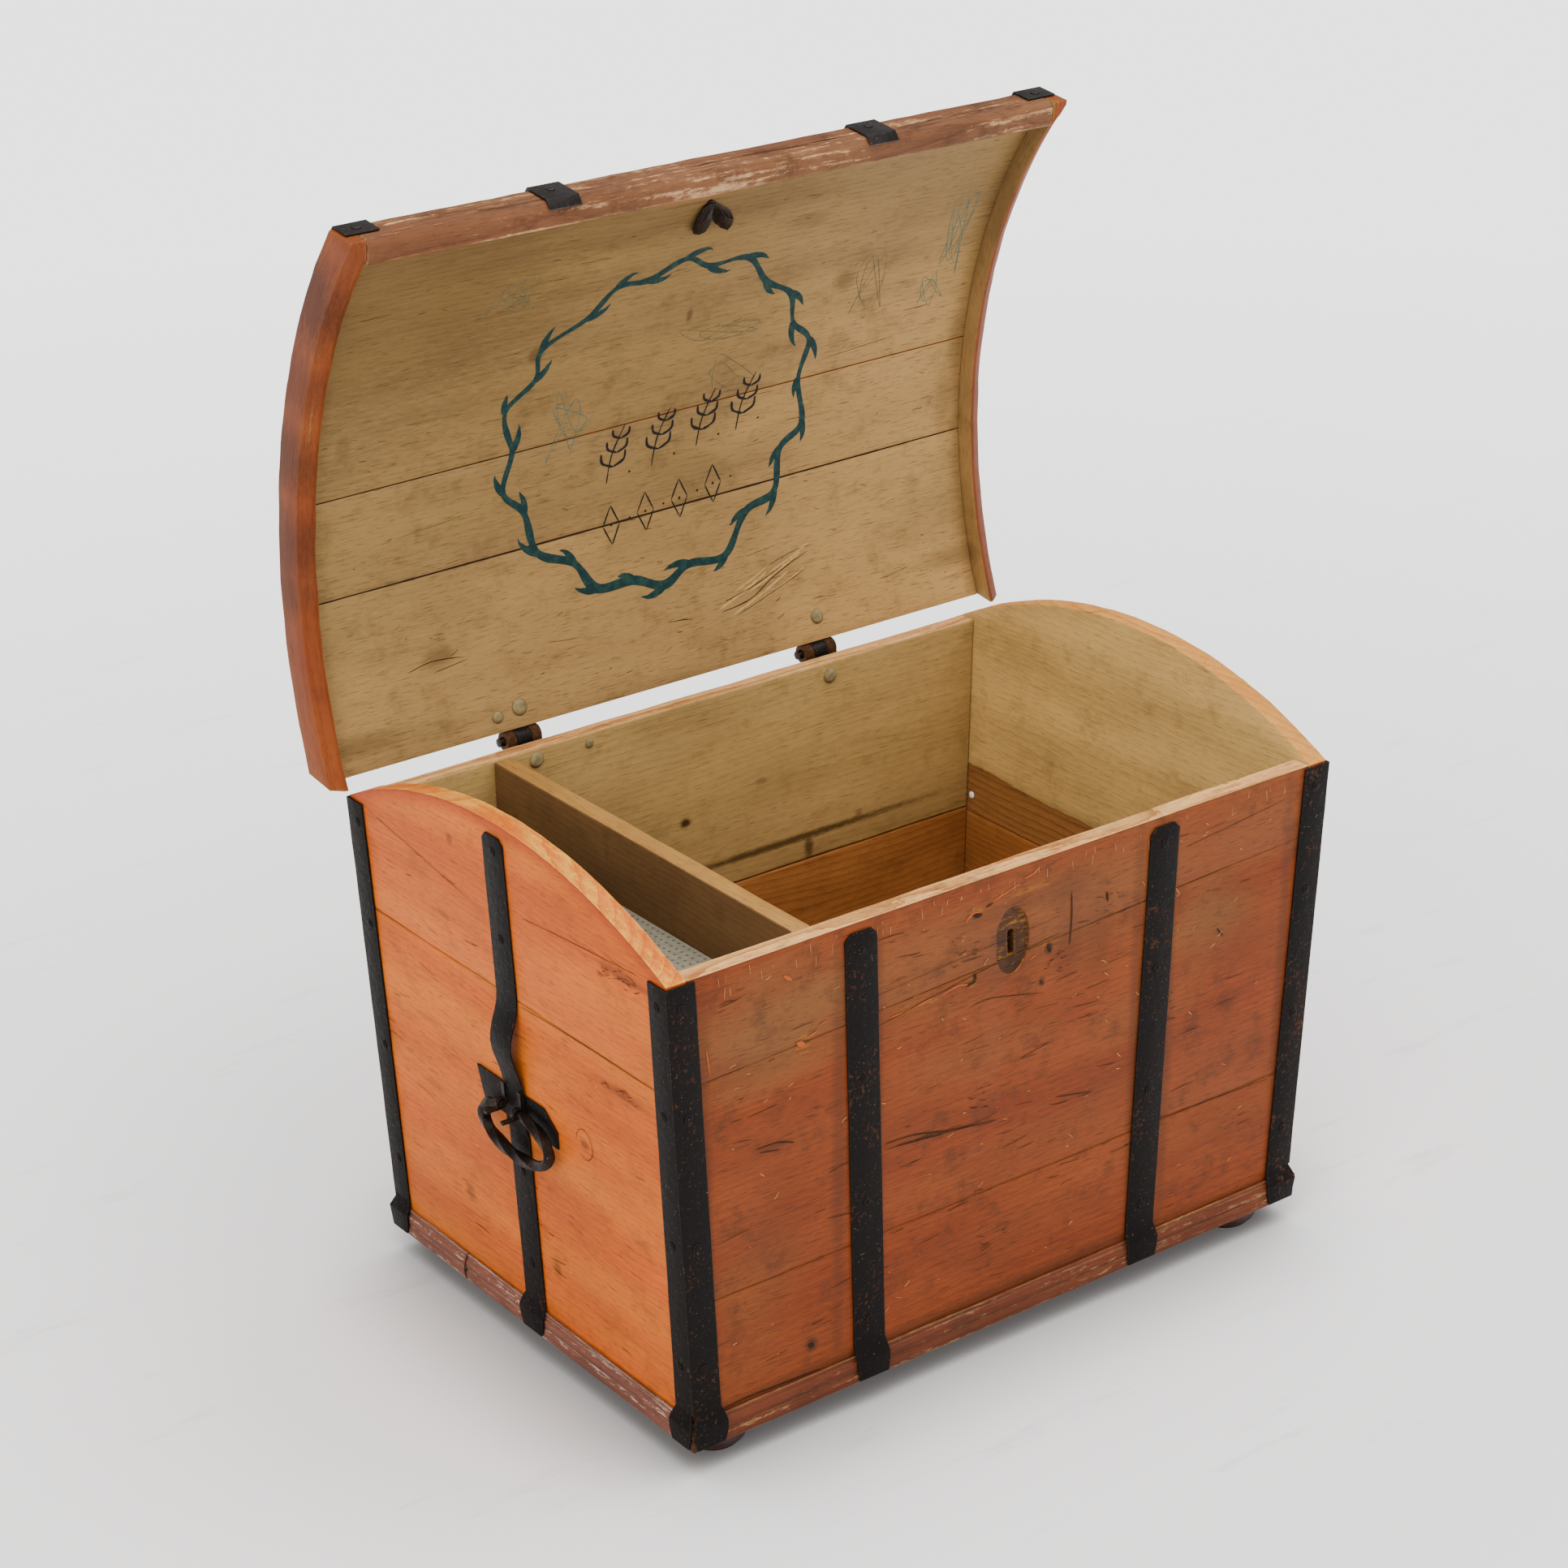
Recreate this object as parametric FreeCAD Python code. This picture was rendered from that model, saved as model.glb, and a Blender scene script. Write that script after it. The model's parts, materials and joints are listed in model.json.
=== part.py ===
import FreeCAD, Part
import math
import os
from FreeCAD import Vector

os.makedirs("parts", exist_ok=True)

# A pine chest with an arched lid that stands open, bound with iron straps. Millimetres.
# The chest's own frame: X along the front to the right, Y from front to back, Z up from the floor.
# Lid pieces are shaped with the lid closed, then turned up about the hinge axis.

# Chest of boards, outside sizes at the rim and at the foot of the boards
rim_width = 860.0
rim_depth = 573.0
rim_height = 550.0
base_width = 805.0
base_depth = 554.5
arch_rise = 70.0
end_thick = 24.7
front_thick = 23.0
back_thick = 22.0
bottom_thick = 20.0
foot_height = 28.0

# Seams between the boards: upper ones as drops below the rim, lower ones as heights off the floor
front_upper_seam_drop_left = 118.0
front_upper_seam_drop_right = 80.0
left_end_seam_drop = 124.0
front_lower_seam = 189.0
right_end_seam = 310.0
back_seam = 315.0
bottom_seam_front = -92.0
bottom_seam_back = 88.0

# Keyhole in the front: the bed of the lost escutcheon and the slot for the key
keyhole_x = -3.5
escutcheon_bed_drop = 81.5
escutcheon_bed_width = 43.6
escutcheon_bed_height = 74.0
escutcheon_bed_depth = 2.5
key_slot_drop = 84.0
key_slot_width = 7.5
key_slot_height = 28.0

# Base moulding: a band, a groove, a round and a small fillet, from the floor side up
moulding_height = 30.0
moulding_reach = 7.0
moulding_band_height = 9.0
moulding_groove_height = 3.0
moulding_groove_reach = 4.5
moulding_round_reach = 6.4
moulding_fillet_height = 5.0
moulding_fillet_reach = 3.0

# Feet: turned buns on a thin pad, their middles set in from the foot of the boards
foot_inset_x = 50.5
foot_inset_y = 42.25
foot_radius = 36.0
foot_pad_radius = 28.0
foot_pad_height = 4.0
foot_neck_radius = 30.0
foot_steps = 5
foot_sides = 28

# Till at the left, inside
till_width = 140.8
till_partition_thick = 24.0
till_depth = 82.0
till_floor_thick = 11.0
till_cleat_width = 14.0
till_cleat_height = 12.0
paper_thick = 0.8

# Iron straps on the chest
iron_thick = 2.5
front_strap_width = 40.0
front_strap_flare = 42.5
front_strap_foot_width = 38.0
strap_corner_cut = 7.0
strap_foot_z = 30.0
strap_flare_z = 47.0
step_rise = 10.0
front_strap_top_x = 199.0
front_strap_foot_x = 183.0
front_strap_top_drop = 10.0
corner_front_leg = 32.5
corner_side_leg = 27.5
corner_top_drop = 2.0
corner_flare = 4.0
corner_lap = 9.0
corner_split = 1.5
corner_split_foot = 6.5
end_strap_y = 1.5
end_strap_width = 37.0
end_strap_flare = 45.0
end_strap_foot_width = 33.0
end_strap_top_drop = 14.0
end_strap_bow = 13.0
end_strap_bow_top = 126.0
end_strap_bow_peak = 73.0

# Ring handles on the ends: a pointed plate, two eyes of square bar and a twisted ring
# Heights above and below are counted from the ring's pivot
eye_z = 299.0
eye_spacing = 30.0
plate_front = 72.0
plate_back = 74.0
plate_above = 19.0
plate_below = 20.0
plate_point = 22.0
eye_width = 5.0
eye_wall = 3.4
eye_leg_height = 23.0
eye_tail = 19.0
pintle_radius = 3.0
pintle_gap = 0.1
pintle_past_eye = 2.0
eye_seat = 0.3
ring_bar = 10.5
ring_end_bar = 7.5
ring_half_width = 60.5
ring_half_height = 26.0
ring_drop = 24.0
ring_shift = -12.0
ring_end_gap = 6.5
ring_twist_turns = 1.5
ring_taper_share = 0.05
ring_sections = 36

# Hinges at the back: two outer knuckles on the chest, one between them on the lid
hinge_left_x = -206.0
hinge_right_x = 199.5
hinge_behind_rim = 13.9
hinge_above_rim = 1.3
hinge_width = 44.0
hinge_centre_width = 18.0
knuckle_radius = 11.0
knuckle_gap = 0.5
hinge_pin_radius = 5.0
hinge_pin_gap = 0.1
hinge_pin_past_left = 6.0
hinge_pin_past_right = 2.0
hinge_leaf_thick = 4.0
hinge_leaf_width = 38.0
hinge_leaf_length = 210.0
hinge_leaf_point = 24.0
hinge_leaf_top_gap = 2.3

# Lid: curved staves over the arched ends, with rims that drop round the chest
open_angle = 82.0
lid_seat = 0.5
stave_thick = 24.7
lid_side_gap = 0.5
lid_rim_thick = 19.0
lid_rim_drop = 21.5
lid_rim_chamfer_width = 14.0
lid_rim_chamfer_height = 8.4
lid_front_overhang = 47.8
lid_front_thick = 28.0
lid_front_drop = 39.0
lid_front_chamfer = 7.0
lid_rear_past_rim = 1.5
lid_seam_front_left = -1.0
lid_seam_front_right = -15.0
lid_seam_rear_left = 110.0
lid_seam_rear_right = 98.0
lid_band_width = 39.0
lid_end_band_inset = 4.5
lid_end_band_lap = 25.0

# Split pin through the lid's front, its two prongs bent open inside
split_pin_x = 6.7
split_pin_from_front = 54.3
split_pin_radius = 3.5
split_pin_gap = 0.2
split_pin_seat = 0.3
split_pin_prong_thick = 2.0
split_pin_straight_length = 42.0
split_pin_slanted_length = 54.0
split_pin_straight_turn = 0.0
split_pin_slanted_turn = 52.0
split_pin_prong_width = 10.0
split_pin_eye_radius = 8.0
split_pin_eye_bar = 2.6

# Nails and rivets
nail_radius = 6.5
nail_head = 1.6
nail_sides = 6
nail_radius_shares = (1.0, 0.45)
nail_height_shares = (0.0, 1.0)
corner_nail_inset = 15.0
rivet_head_share = 0.32
rivet_seat = 0.35
rivet_sides = 14
rivet_radius_shares = (1.0, 0.93, 0.74, 0.38)
rivet_height_shares = (0.0, 0.35, 0.75, 1.0)
# Rivet places: along the chest, then down from the rim or in from the lid's rear edge, and radius
back_rivet_places = [(-209.0, 13.0, 10.0), (-140.0, 12.0, 6.0), (191.6, 16.5, 10.0)]
lid_rivet_places = [(-203.0, 20.0, 10.5), (-232.0, 16.0, 7.5), (205.0, 25.0, 9.5)]
corner_pin_z = 332.0
corner_pin_inset = 7.0
corner_pin_radius = 5.0

# How far every cutting shape runs past what it cuts
overrun = 40.0

# Worked out from the sizes above
widest = max(rim_width, base_width)
deepest = max(rim_depth, base_depth)
arch_radius = ((rim_depth / 2) ** 2 + arch_rise ** 2) / (2 * arch_rise)
arch_top = rim_height + arch_rise
arch_z = arch_top - arch_radius
foot_x = base_width / 2 - foot_inset_x
foot_y = base_depth / 2 - foot_inset_y
escutcheon_bed_z = rim_height - escutcheon_bed_drop
key_slot_z = rim_height - key_slot_drop
front_strap_top_z = rim_height - front_strap_top_drop
end_strap_top_z = arch_top - end_strap_top_drop
end_strap_bow_top_z = eye_z + end_strap_bow_top
end_strap_bow_peak_z = eye_z + end_strap_bow_peak
plate_low_z = eye_z - plate_below
plate_high_z = eye_z + plate_above
hinge_y = rim_depth / 2 + hinge_behind_rim
hinge_z = rim_height + hinge_above_rim
lid_front_y = -rim_depth / 2 - lid_front_overhang
lid_rear_y = rim_depth / 2 + lid_rear_past_rim
lid_front_low_z = rim_height - lid_front_drop
split_pin_y = lid_front_y + split_pin_from_front
till_partition_x = -rim_width / 2 + end_thick + till_width + till_partition_thick / 2
moulding_top = foot_height + moulding_height
stave_inside = arch_radius + lid_seat
stave_outside = stave_inside + stave_thick
eye_inside = pintle_radius + pintle_gap
eye_outside = eye_inside + eye_wall
strap_over_plate = 2 * iron_thick
eye_reach = strap_over_plate + eye_seat + eye_outside


def taper(at_base, at_rim, z):
    return at_base + (at_rim - at_base) * (z - foot_height) / (rim_height - foot_height)


def side_x(z):
    return taper(base_width, rim_width, z) / 2


def side_y(z):
    return taper(base_depth, rim_depth, z) / 2


lid_inside_x = side_x(arch_top) + iron_thick + lid_side_gap
lid_outside_x = lid_inside_x + lid_rim_thick


def flat_face(points):
    corners = [Vector(point) for point in points]
    return Part.Face(Part.makePolygon(corners + corners[:1]))


def solid_of(faces):
    solid = Part.makeSolid(Part.makeShell(faces))
    return solid if solid.Volume > 0 else solid.reversed()


def tapered_block(low_z, high_z, plan):
    # A block whose outline at each height is given by plan, with flat sides between
    low = [(x, y, low_z) for x, y in plan(low_z)]
    high = [(x, y, high_z) for x, y in plan(high_z)]
    faces = [flat_face(low), flat_face(high)]
    for index in range(len(low)):
        after = (index + 1) % len(low)
        faces.append(flat_face([low[index], low[after], high[after], high[index]]))
    return solid_of(faces)


def faceted_solid(sections):
    # Joins loops of as many points each, one after the other, with flat triangles
    faces = [flat_face(sections[0]), flat_face(sections[-1])]
    for low, high in zip(sections, sections[1:]):
        for index in range(len(low)):
            after = (index + 1) % len(low)
            faces.append(flat_face([low[index], low[after], high[after]]))
            faces.append(flat_face([low[index], high[after], high[index]]))
    return solid_of(faces)


def box(x_low, x_high, y_low, y_high, z_low, z_high):
    return Part.makeBox(x_high - x_low, y_high - y_low, z_high - z_low, Vector(x_low, y_low, z_low))


def rod(radius, x_low, x_high, y, z):
    return Part.makeCylinder(radius, x_high - x_low, Vector(x_low, y, z), Vector(1, 0, 0))


def extrude_along_x(points, x_low, x_high):
    face = flat_face([(x_low, y, z) for y, z in points])
    return face.extrude(Vector(x_high - x_low, 0, 0))


def mirrored(shape):
    return shape.mirror(Vector(0, 0, 0), Vector(1, 0, 0))


def mirrored_to_back(shape):
    return shape.mirror(Vector(0, 0, 0), Vector(0, 1, 0))


def group(solids):
    return Part.makeCompound([solid for shape in solids for solid in shape.Solids])


def split_across(panel, left_z, right_z):
    # Cuts a panel along a straight line that climbs from left_z to right_z over the chest's width
    x_reach = widest / 2 + overrun
    y_reach = deepest / 2 + overrun
    climb = (right_z - left_z) * (x_reach / rim_width - 1 / 2)
    floor = -overrun
    lower_face = [
        (-x_reach, -y_reach, floor),
        (x_reach, -y_reach, floor),
        (x_reach, -y_reach, right_z + climb),
        (-x_reach, -y_reach, left_z - climb),
    ]
    lower_half = flat_face(lower_face).extrude(Vector(0, 2 * y_reach, 0))
    return panel.common(lower_half), panel.cut(lower_half)


# Boards of the chest

def front_outline(z):
    x = side_x(z) - end_thick
    y = -side_y(z)
    return [(-x, y), (x, y), (x, y + front_thick), (-x, y + front_thick)]


def back_outline(z):
    x = side_x(z) - end_thick
    y = side_y(z)
    return [(-x, y - back_thick), (x, y - back_thick), (x, y), (-x, y)]


def left_end_outline(z):
    x = -side_x(z)
    y = side_y(z)
    return [(x, -y), (x + end_thick, -y), (x + end_thick, y), (x, y)]


def escutcheon_bed():
    half_height = escutcheon_bed_height / 2
    disc = Part.makeCylinder(half_height, overrun, Vector(0, 0, 0), Vector(0, -1, 0))
    stretch = FreeCAD.Matrix()
    stretch.scale(escutcheon_bed_width / escutcheon_bed_height, 1, 1)
    disc = disc.transformGeometry(stretch)
    disc.translate(Vector(keyhole_x, -side_y(escutcheon_bed_z) + escutcheon_bed_depth, escutcheon_bed_z))
    return disc


def key_slot():
    half_width = key_slot_width / 2
    half_straight = key_slot_height / 2 - half_width
    front_y = -side_y(key_slot_z) - overrun
    depth = front_thick + 2 * overrun
    slot = box(keyhole_x - half_width, keyhole_x + half_width, front_y, front_y + depth,
               key_slot_z - half_straight, key_slot_z + half_straight)
    for end_z in (key_slot_z - half_straight, key_slot_z + half_straight):
        slot = slot.fuse(Part.makeCylinder(half_width, depth, Vector(keyhole_x, front_y, end_z), Vector(0, 1, 0)))
    return slot.removeSplitter()


def make_front():
    panel = tapered_block(foot_height, rim_height, front_outline)
    panel = panel.cut(escutcheon_bed()).cut(key_slot())
    rest, top = split_across(panel, rim_height - front_upper_seam_drop_left,
                             rim_height - front_upper_seam_drop_right)
    bottom, middle = split_across(rest, front_lower_seam, front_lower_seam)
    return {"front_plank_top": top, "front_plank_middle": middle, "front_plank_bottom": bottom}


def make_back():
    panel = tapered_block(foot_height, rim_height, back_outline)
    lower, upper = split_across(panel, back_seam, back_seam)
    return {"back_plank_upper": upper, "back_plank_lower": lower}


def arch_cylinder(radius):
    reach = widest / 2 + overrun
    return rod(radius, -reach, reach, 0, arch_z)


def make_ends():
    panel = tapered_block(foot_height, arch_top, left_end_outline)
    panel = panel.common(arch_cylinder(arch_radius))
    left_seam = rim_height - left_end_seam_drop
    left_lower, left_upper = split_across(panel, left_seam, left_seam)
    right_lower, right_upper = split_across(mirrored(panel), right_end_seam, right_end_seam)
    return {
        "left_end_upper": left_upper,
        "left_end_lower": left_lower,
        "right_end_upper": right_upper,
        "right_end_lower": right_lower,
    }


def make_bottom():
    def bottom_board(front_y, back_y):
        def outline(z):
            x = side_x(z) - end_thick
            front = -side_y(z) + front_thick if front_y is None else front_y
            back = side_y(z) - back_thick if back_y is None else back_y
            return [(-x, front), (x, front), (x, back), (-x, back)]
        return tapered_block(foot_height, foot_height + bottom_thick, outline)

    return {
        "bottom_board_front": bottom_board(None, bottom_seam_front),
        "bottom_board_middle": bottom_board(bottom_seam_front, bottom_seam_back),
        "bottom_board_back": bottom_board(bottom_seam_back, None),
    }


# Base moulding and feet

def moulding_section(wall):
    # The moulded outline in (distance from the middle, height), run back into the wall
    def at(reach, z):
        return Vector(wall(z) + reach, 0, z)

    low = foot_height
    band = low + moulding_band_height
    groove = band + moulding_groove_height
    fillet = moulding_top - moulding_fillet_height
    round_middle = (groove + fillet) / 2
    inside = -moulding_reach
    edges = [
        Part.makePolygon([at(inside, low), at(moulding_reach, low), at(moulding_reach, band),
                          at(moulding_groove_reach, groove)]),
        Part.Arc(at(moulding_groove_reach, groove), at(moulding_round_reach, round_middle),
                 at(moulding_fillet_reach, fillet)).toShape(),
        Part.makePolygon([at(moulding_fillet_reach, fillet), at(moulding_fillet_reach, moulding_top),
                          at(inside, moulding_top), at(inside, low)]),
    ]
    wire = Part.Wire([edge for piece in edges for edge in piece.Edges])
    return Part.Face(wire)


def make_mouldings():
    far = moulding_reach + overrun

    def front_wedge(z):
        x = side_x(z)
        y = side_y(z)
        return [(-x - far, -y - far), (x + far, -y - far), (x, -y), (-x, -y)]

    def left_wedge(z):
        x = side_x(z)
        y = side_y(z)
        return [(-x - far, -y - far), (-x, -y), (-x, y), (-x - far, y)]

    def ran_round(section, angle, length, wedge):
        strip = section.extrude(Vector(0, length, 0))
        strip.translate(Vector(0, -length / 2, 0))
        strip.rotate(Vector(0, 0, 0), Vector(0, 0, 1), angle)
        return strip.common(tapered_block(foot_height, moulding_top, wedge))

    front = ran_round(moulding_section(side_y), -90, widest + 2 * far, front_wedge)
    left = ran_round(moulding_section(side_x), 180, deepest + 2 * far, left_wedge)
    return {"base_moulding_front": front, "base_moulding_left": left, "base_moulding_right": mirrored(left)}


def make_feet():
    # The bun's outline is a flattened circle between the pad and the neck, in flat steps
    bun_height = foot_height - foot_pad_height
    outline = [(foot_pad_radius, 0)]
    for step in range(foot_steps + 1):
        share = step / foot_steps
        swell = math.sin(math.pi * share)
        rim = foot_pad_radius + (foot_neck_radius - foot_pad_radius) * share
        outline.append((rim + (foot_radius - rim) * swell, foot_pad_height + bun_height * share))
    loops = []
    for radius, z in outline:
        angles = [2 * math.pi * index / foot_sides for index in range(foot_sides)]
        loops.append([Vector(radius * math.cos(angle), radius * math.sin(angle), z) for angle in angles])
    bun = faceted_solid(loops)
    feet = {}
    for depth_name, y in (("front", -foot_y), ("back", foot_y)):
        for side_name, x in (("left", -foot_x), ("right", foot_x)):
            foot = bun.copy()
            foot.translate(Vector(x, y, 0))
            feet["foot_" + depth_name + "_" + side_name] = foot
    return feet


# Till

def make_till():
    partition_left = till_partition_x - till_partition_thick / 2
    partition_right = till_partition_x + till_partition_thick / 2
    floor_top = rim_height - till_depth
    floor_low = floor_top - till_floor_thick
    cleat_low = floor_low - till_cleat_height

    def room(z):
        left = -side_x(z) + end_thick
        front = -side_y(z) + front_thick
        back = side_y(z) - back_thick
        return [(left, front), (partition_left, front), (partition_left, back), (left, back)]

    def partition_outline(z):
        front = -side_y(z) + front_thick
        back = side_y(z) - back_thick
        return [(partition_left, front), (partition_right, front), (partition_right, back), (partition_left, back)]

    def cleat_on_end(z):
        left = -side_x(z) + end_thick
        front = -side_y(z) + front_thick
        back = side_y(z) - back_thick
        inner = left + till_cleat_width
        return [(left, front), (inner, front), (inner, back), (left, back)]

    def cleat_on_partition(z):
        left = partition_left - till_cleat_width
        front = -side_y(z) + front_thick
        back = side_y(z) - back_thick
        return [(left, front), (partition_left, front), (partition_left, back), (left, back)]

    return {
        "till_partition": tapered_block(cleat_low, rim_height, partition_outline),
        "till_floor": tapered_block(floor_low, floor_top, room),
        "till_cleats": group([tapered_block(cleat_low, floor_low, cleat_on_end),
                              tapered_block(cleat_low, floor_low, cleat_on_partition)]),
        "till_lining": tapered_block(floor_top, floor_top + paper_thick, room),
    }


# Straps on the chest. Each is a bent strip of even thickness, cut to its outline.

def stepped_profile(top_z, low_z):
    # The strip's inner line as (distance off the wall, height): flat, then out over the moulding
    return [(0, top_z), (0, moulding_top + step_rise), (moulding_reach, moulding_top - moulding_fillet_height),
            (moulding_reach, low_z)]


def strip_on_front(profile, x_low, x_high):
    inner = [(-side_y(z) - off, z) for off, z in profile]
    outer = [(y - iron_thick, z) for y, z in reversed(inner)]
    return extrude_along_x(inner + outer, x_low, x_high)


def strip_on_left(profile, y_low, y_high):
    inner = [(-side_x(z) - off, z) for off, z in profile]
    outer = [(x - iron_thick, z) for x, z in reversed(inner)]
    face = flat_face([(x, y_low, z) for x, z in inner + outer])
    return face.extrude(Vector(0, y_high - y_low, 0))


def outline_wire(pieces):
    # Pieces are lists of (along, height): two or more points are straight, "arc" ones take three
    edges = []
    for kind, points in pieces:
        corners = [Vector(along, 0, z) for along, z in points]
        if kind == "arc":
            edges.append(Part.Arc(*corners).toShape())
        else:
            edges.extend(Part.makePolygon(corners).Edges)
    return Part.Wire(edges)


def strap_outline(top_x, foot_x_place, width, flare_width, foot_width, top_z):
    # A strap's outline: cut corners at the top, a flare over the moulding and a rounded foot
    def middle(z):
        return foot_x_place + (top_x - foot_x_place) * (z - strap_foot_z) / (top_z - strap_foot_z)

    half = width / 2
    step_z = moulding_top + step_rise
    top = middle(top_z)
    step = middle(step_z)
    flare = middle(strap_flare_z)
    foot = middle(strap_foot_z)
    half_flare = flare_width / 2
    half_foot = foot_width / 2
    cut = strap_corner_cut
    return outline_wire([
        ("line", [(step - half, step_z), (top - half, top_z - cut), (top - half + cut, top_z),
                  (top + half - cut, top_z), (top + half, top_z - cut), (step + half, step_z)]),
        ("arc", [(step + half, step_z), (flare + half_flare, strap_flare_z), (foot + half_foot, strap_foot_z)]),
        ("line", [(foot + half_foot, strap_foot_z), (foot - half_foot, strap_foot_z)]),
        ("arc", [(foot - half_foot, strap_foot_z), (flare - half_flare, strap_flare_z), (step - half, step_z)]),
    ])


def swept_outline(wire):
    reach = rim_width + overrun
    blade = Part.Face(wire).extrude(Vector(0, 2 * reach, 0))
    blade.translate(Vector(0, -reach, 0))
    return blade


def swept_outline_on_end(wire):
    # The same outline, its first axis laid along Y and swept through the left end
    blade = swept_outline(wire)
    blade.rotate(Vector(0, 0, 0), Vector(0, 0, 1), 90)
    return blade


def make_front_straps():
    reach = front_strap_top_x + front_strap_flare
    strip = strip_on_front(stepped_profile(front_strap_top_z, strap_foot_z), 0, reach)
    outline = strap_outline(front_strap_top_x, front_strap_foot_x, front_strap_width, front_strap_flare,
                            front_strap_foot_width, front_strap_top_z)
    right = strip.common(swept_outline(outline))
    return {"front_strap_left": mirrored(right), "front_strap_right": right}


def end_strap_profile():
    # The strip bows out above the handle's plate and passes over the plate
    plate_top = plate_high_z + iron_thick
    plate_foot = plate_low_z - iron_thick
    upper_share = [0.0, 0.2, 0.4, 0.6, 0.8]
    profile = [(0, end_strap_top_z)]
    for share in upper_share:
        z = end_strap_bow_top_z + (end_strap_bow_peak_z - end_strap_bow_top_z) * share
        profile.append((end_strap_bow * math.sin(math.pi * share / 2) ** 2, z))
    for share in upper_share:
        z = end_strap_bow_peak_z + (plate_top - end_strap_bow_peak_z) * share
        swing = math.cos(math.pi * share / 2) ** 2
        profile.append((iron_thick + (end_strap_bow - iron_thick) * swing, z))
    profile += [(iron_thick, plate_top), (iron_thick, plate_foot), (0, plate_foot - step_rise)]
    return profile + stepped_profile(end_strap_top_z, strap_foot_z)[1:]


def make_end_straps():
    strip = strip_on_left(end_strap_profile(), end_strap_y - end_strap_flare, end_strap_y + end_strap_flare)
    outline = strap_outline(end_strap_y, end_strap_y, end_strap_width, end_strap_flare, end_strap_foot_width,
                            end_strap_top_z)
    left = strip.common(swept_outline_on_end(outline))
    return {"end_strap_left": left, "end_strap_right": mirrored(left)}


def corner_iron(steps_on_side_y):
    # The front left corner: two straight legs, each ending in a leaf bent out over the moulding
    top_z = rim_height - corner_top_drop
    step_z = moulding_top + step_rise
    step_low_z = moulding_top - moulding_fillet_height
    lap_z = step_z + corner_lap
    leg_foot_z = step_z if steps_on_side_y else foot_height + iron_thick

    def angle_outline(z):
        x = -side_x(z)
        y = -side_y(z)
        return [(x - iron_thick, y - iron_thick), (x + corner_front_leg, y - iron_thick), (x + corner_front_leg, y),
                (x, y), (x, y + corner_side_leg), (x - iron_thick, y + corner_side_leg)]

    def front_leg_outline(z):
        x = -side_x(z)
        y = -side_y(z)
        return [(x - iron_thick, y - iron_thick), (x + corner_front_leg, y - iron_thick), (x + corner_front_leg, y),
                (x, y)]

    def leaf_outline(edge, leg):
        # Below the step the leaves reach round to the moulding's corner, where a slit parts them
        corner = edge - moulding_reach
        return outline_wire([
            ("line", [(edge + corner_split, lap_z), (edge + corner_split, step_z),
                      (corner + corner_split, step_low_z), (corner + corner_split_foot, strap_foot_z),
                      (edge + leg, strap_foot_z)]),
            ("arc", [(edge + leg, strap_foot_z), (edge + leg + corner_flare, strap_flare_z), (edge + leg, step_z)]),
            ("line", [(edge + leg, step_z), (edge + leg, lap_z), (edge + corner_split, lap_z)]),
        ])

    iron = tapered_block(step_z, top_z, angle_outline)
    x_edge = -side_x(step_z)
    y_edge = -side_y(step_z)
    leaf_profile = stepped_profile(lap_z, strap_foot_z)
    left_leaf = strip_on_left(leaf_profile, y_edge - moulding_reach, y_edge + corner_side_leg + 2 * corner_flare)
    left_leaf = left_leaf.common(swept_outline_on_end(leaf_outline(y_edge, corner_side_leg)))
    iron = iron.fuse(left_leaf)
    if steps_on_side_y:
        front_leaf = strip_on_front(leaf_profile, x_edge - moulding_reach, x_edge + corner_front_leg + 2 * corner_flare)
        iron = iron.fuse(front_leaf.common(swept_outline(leaf_outline(x_edge, corner_front_leg))))
    else:
        iron = iron.fuse(tapered_block(leg_foot_z, step_z, front_leg_outline))
    return iron.removeSplitter()


def make_corner_irons():
    front_left = corner_iron(True)
    back_left = mirrored_to_back(corner_iron(False))
    return {
        "corner_iron_front_left": front_left,
        "corner_iron_front_right": mirrored(front_left),
        "corner_iron_back_left": back_left,
        "corner_iron_back_right": mirrored(back_left),
    }


# Ring handles, shaped on the left end and mirrored

def handle_plate():
    middle_z = (plate_low_z + plate_high_z) / 2
    strip = strip_on_left([(0, plate_high_z), (0, plate_low_z)], -plate_front, plate_back)
    outline = outline_wire([("line", [
        (-plate_front, plate_low_z), (-plate_front, middle_z), (-plate_front + plate_point, plate_high_z),
        (plate_back, plate_high_z), (plate_back - plate_point / 2, plate_low_z), (-plate_front, plate_low_z)])])
    return strip.common(swept_outline_on_end(outline))


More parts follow.
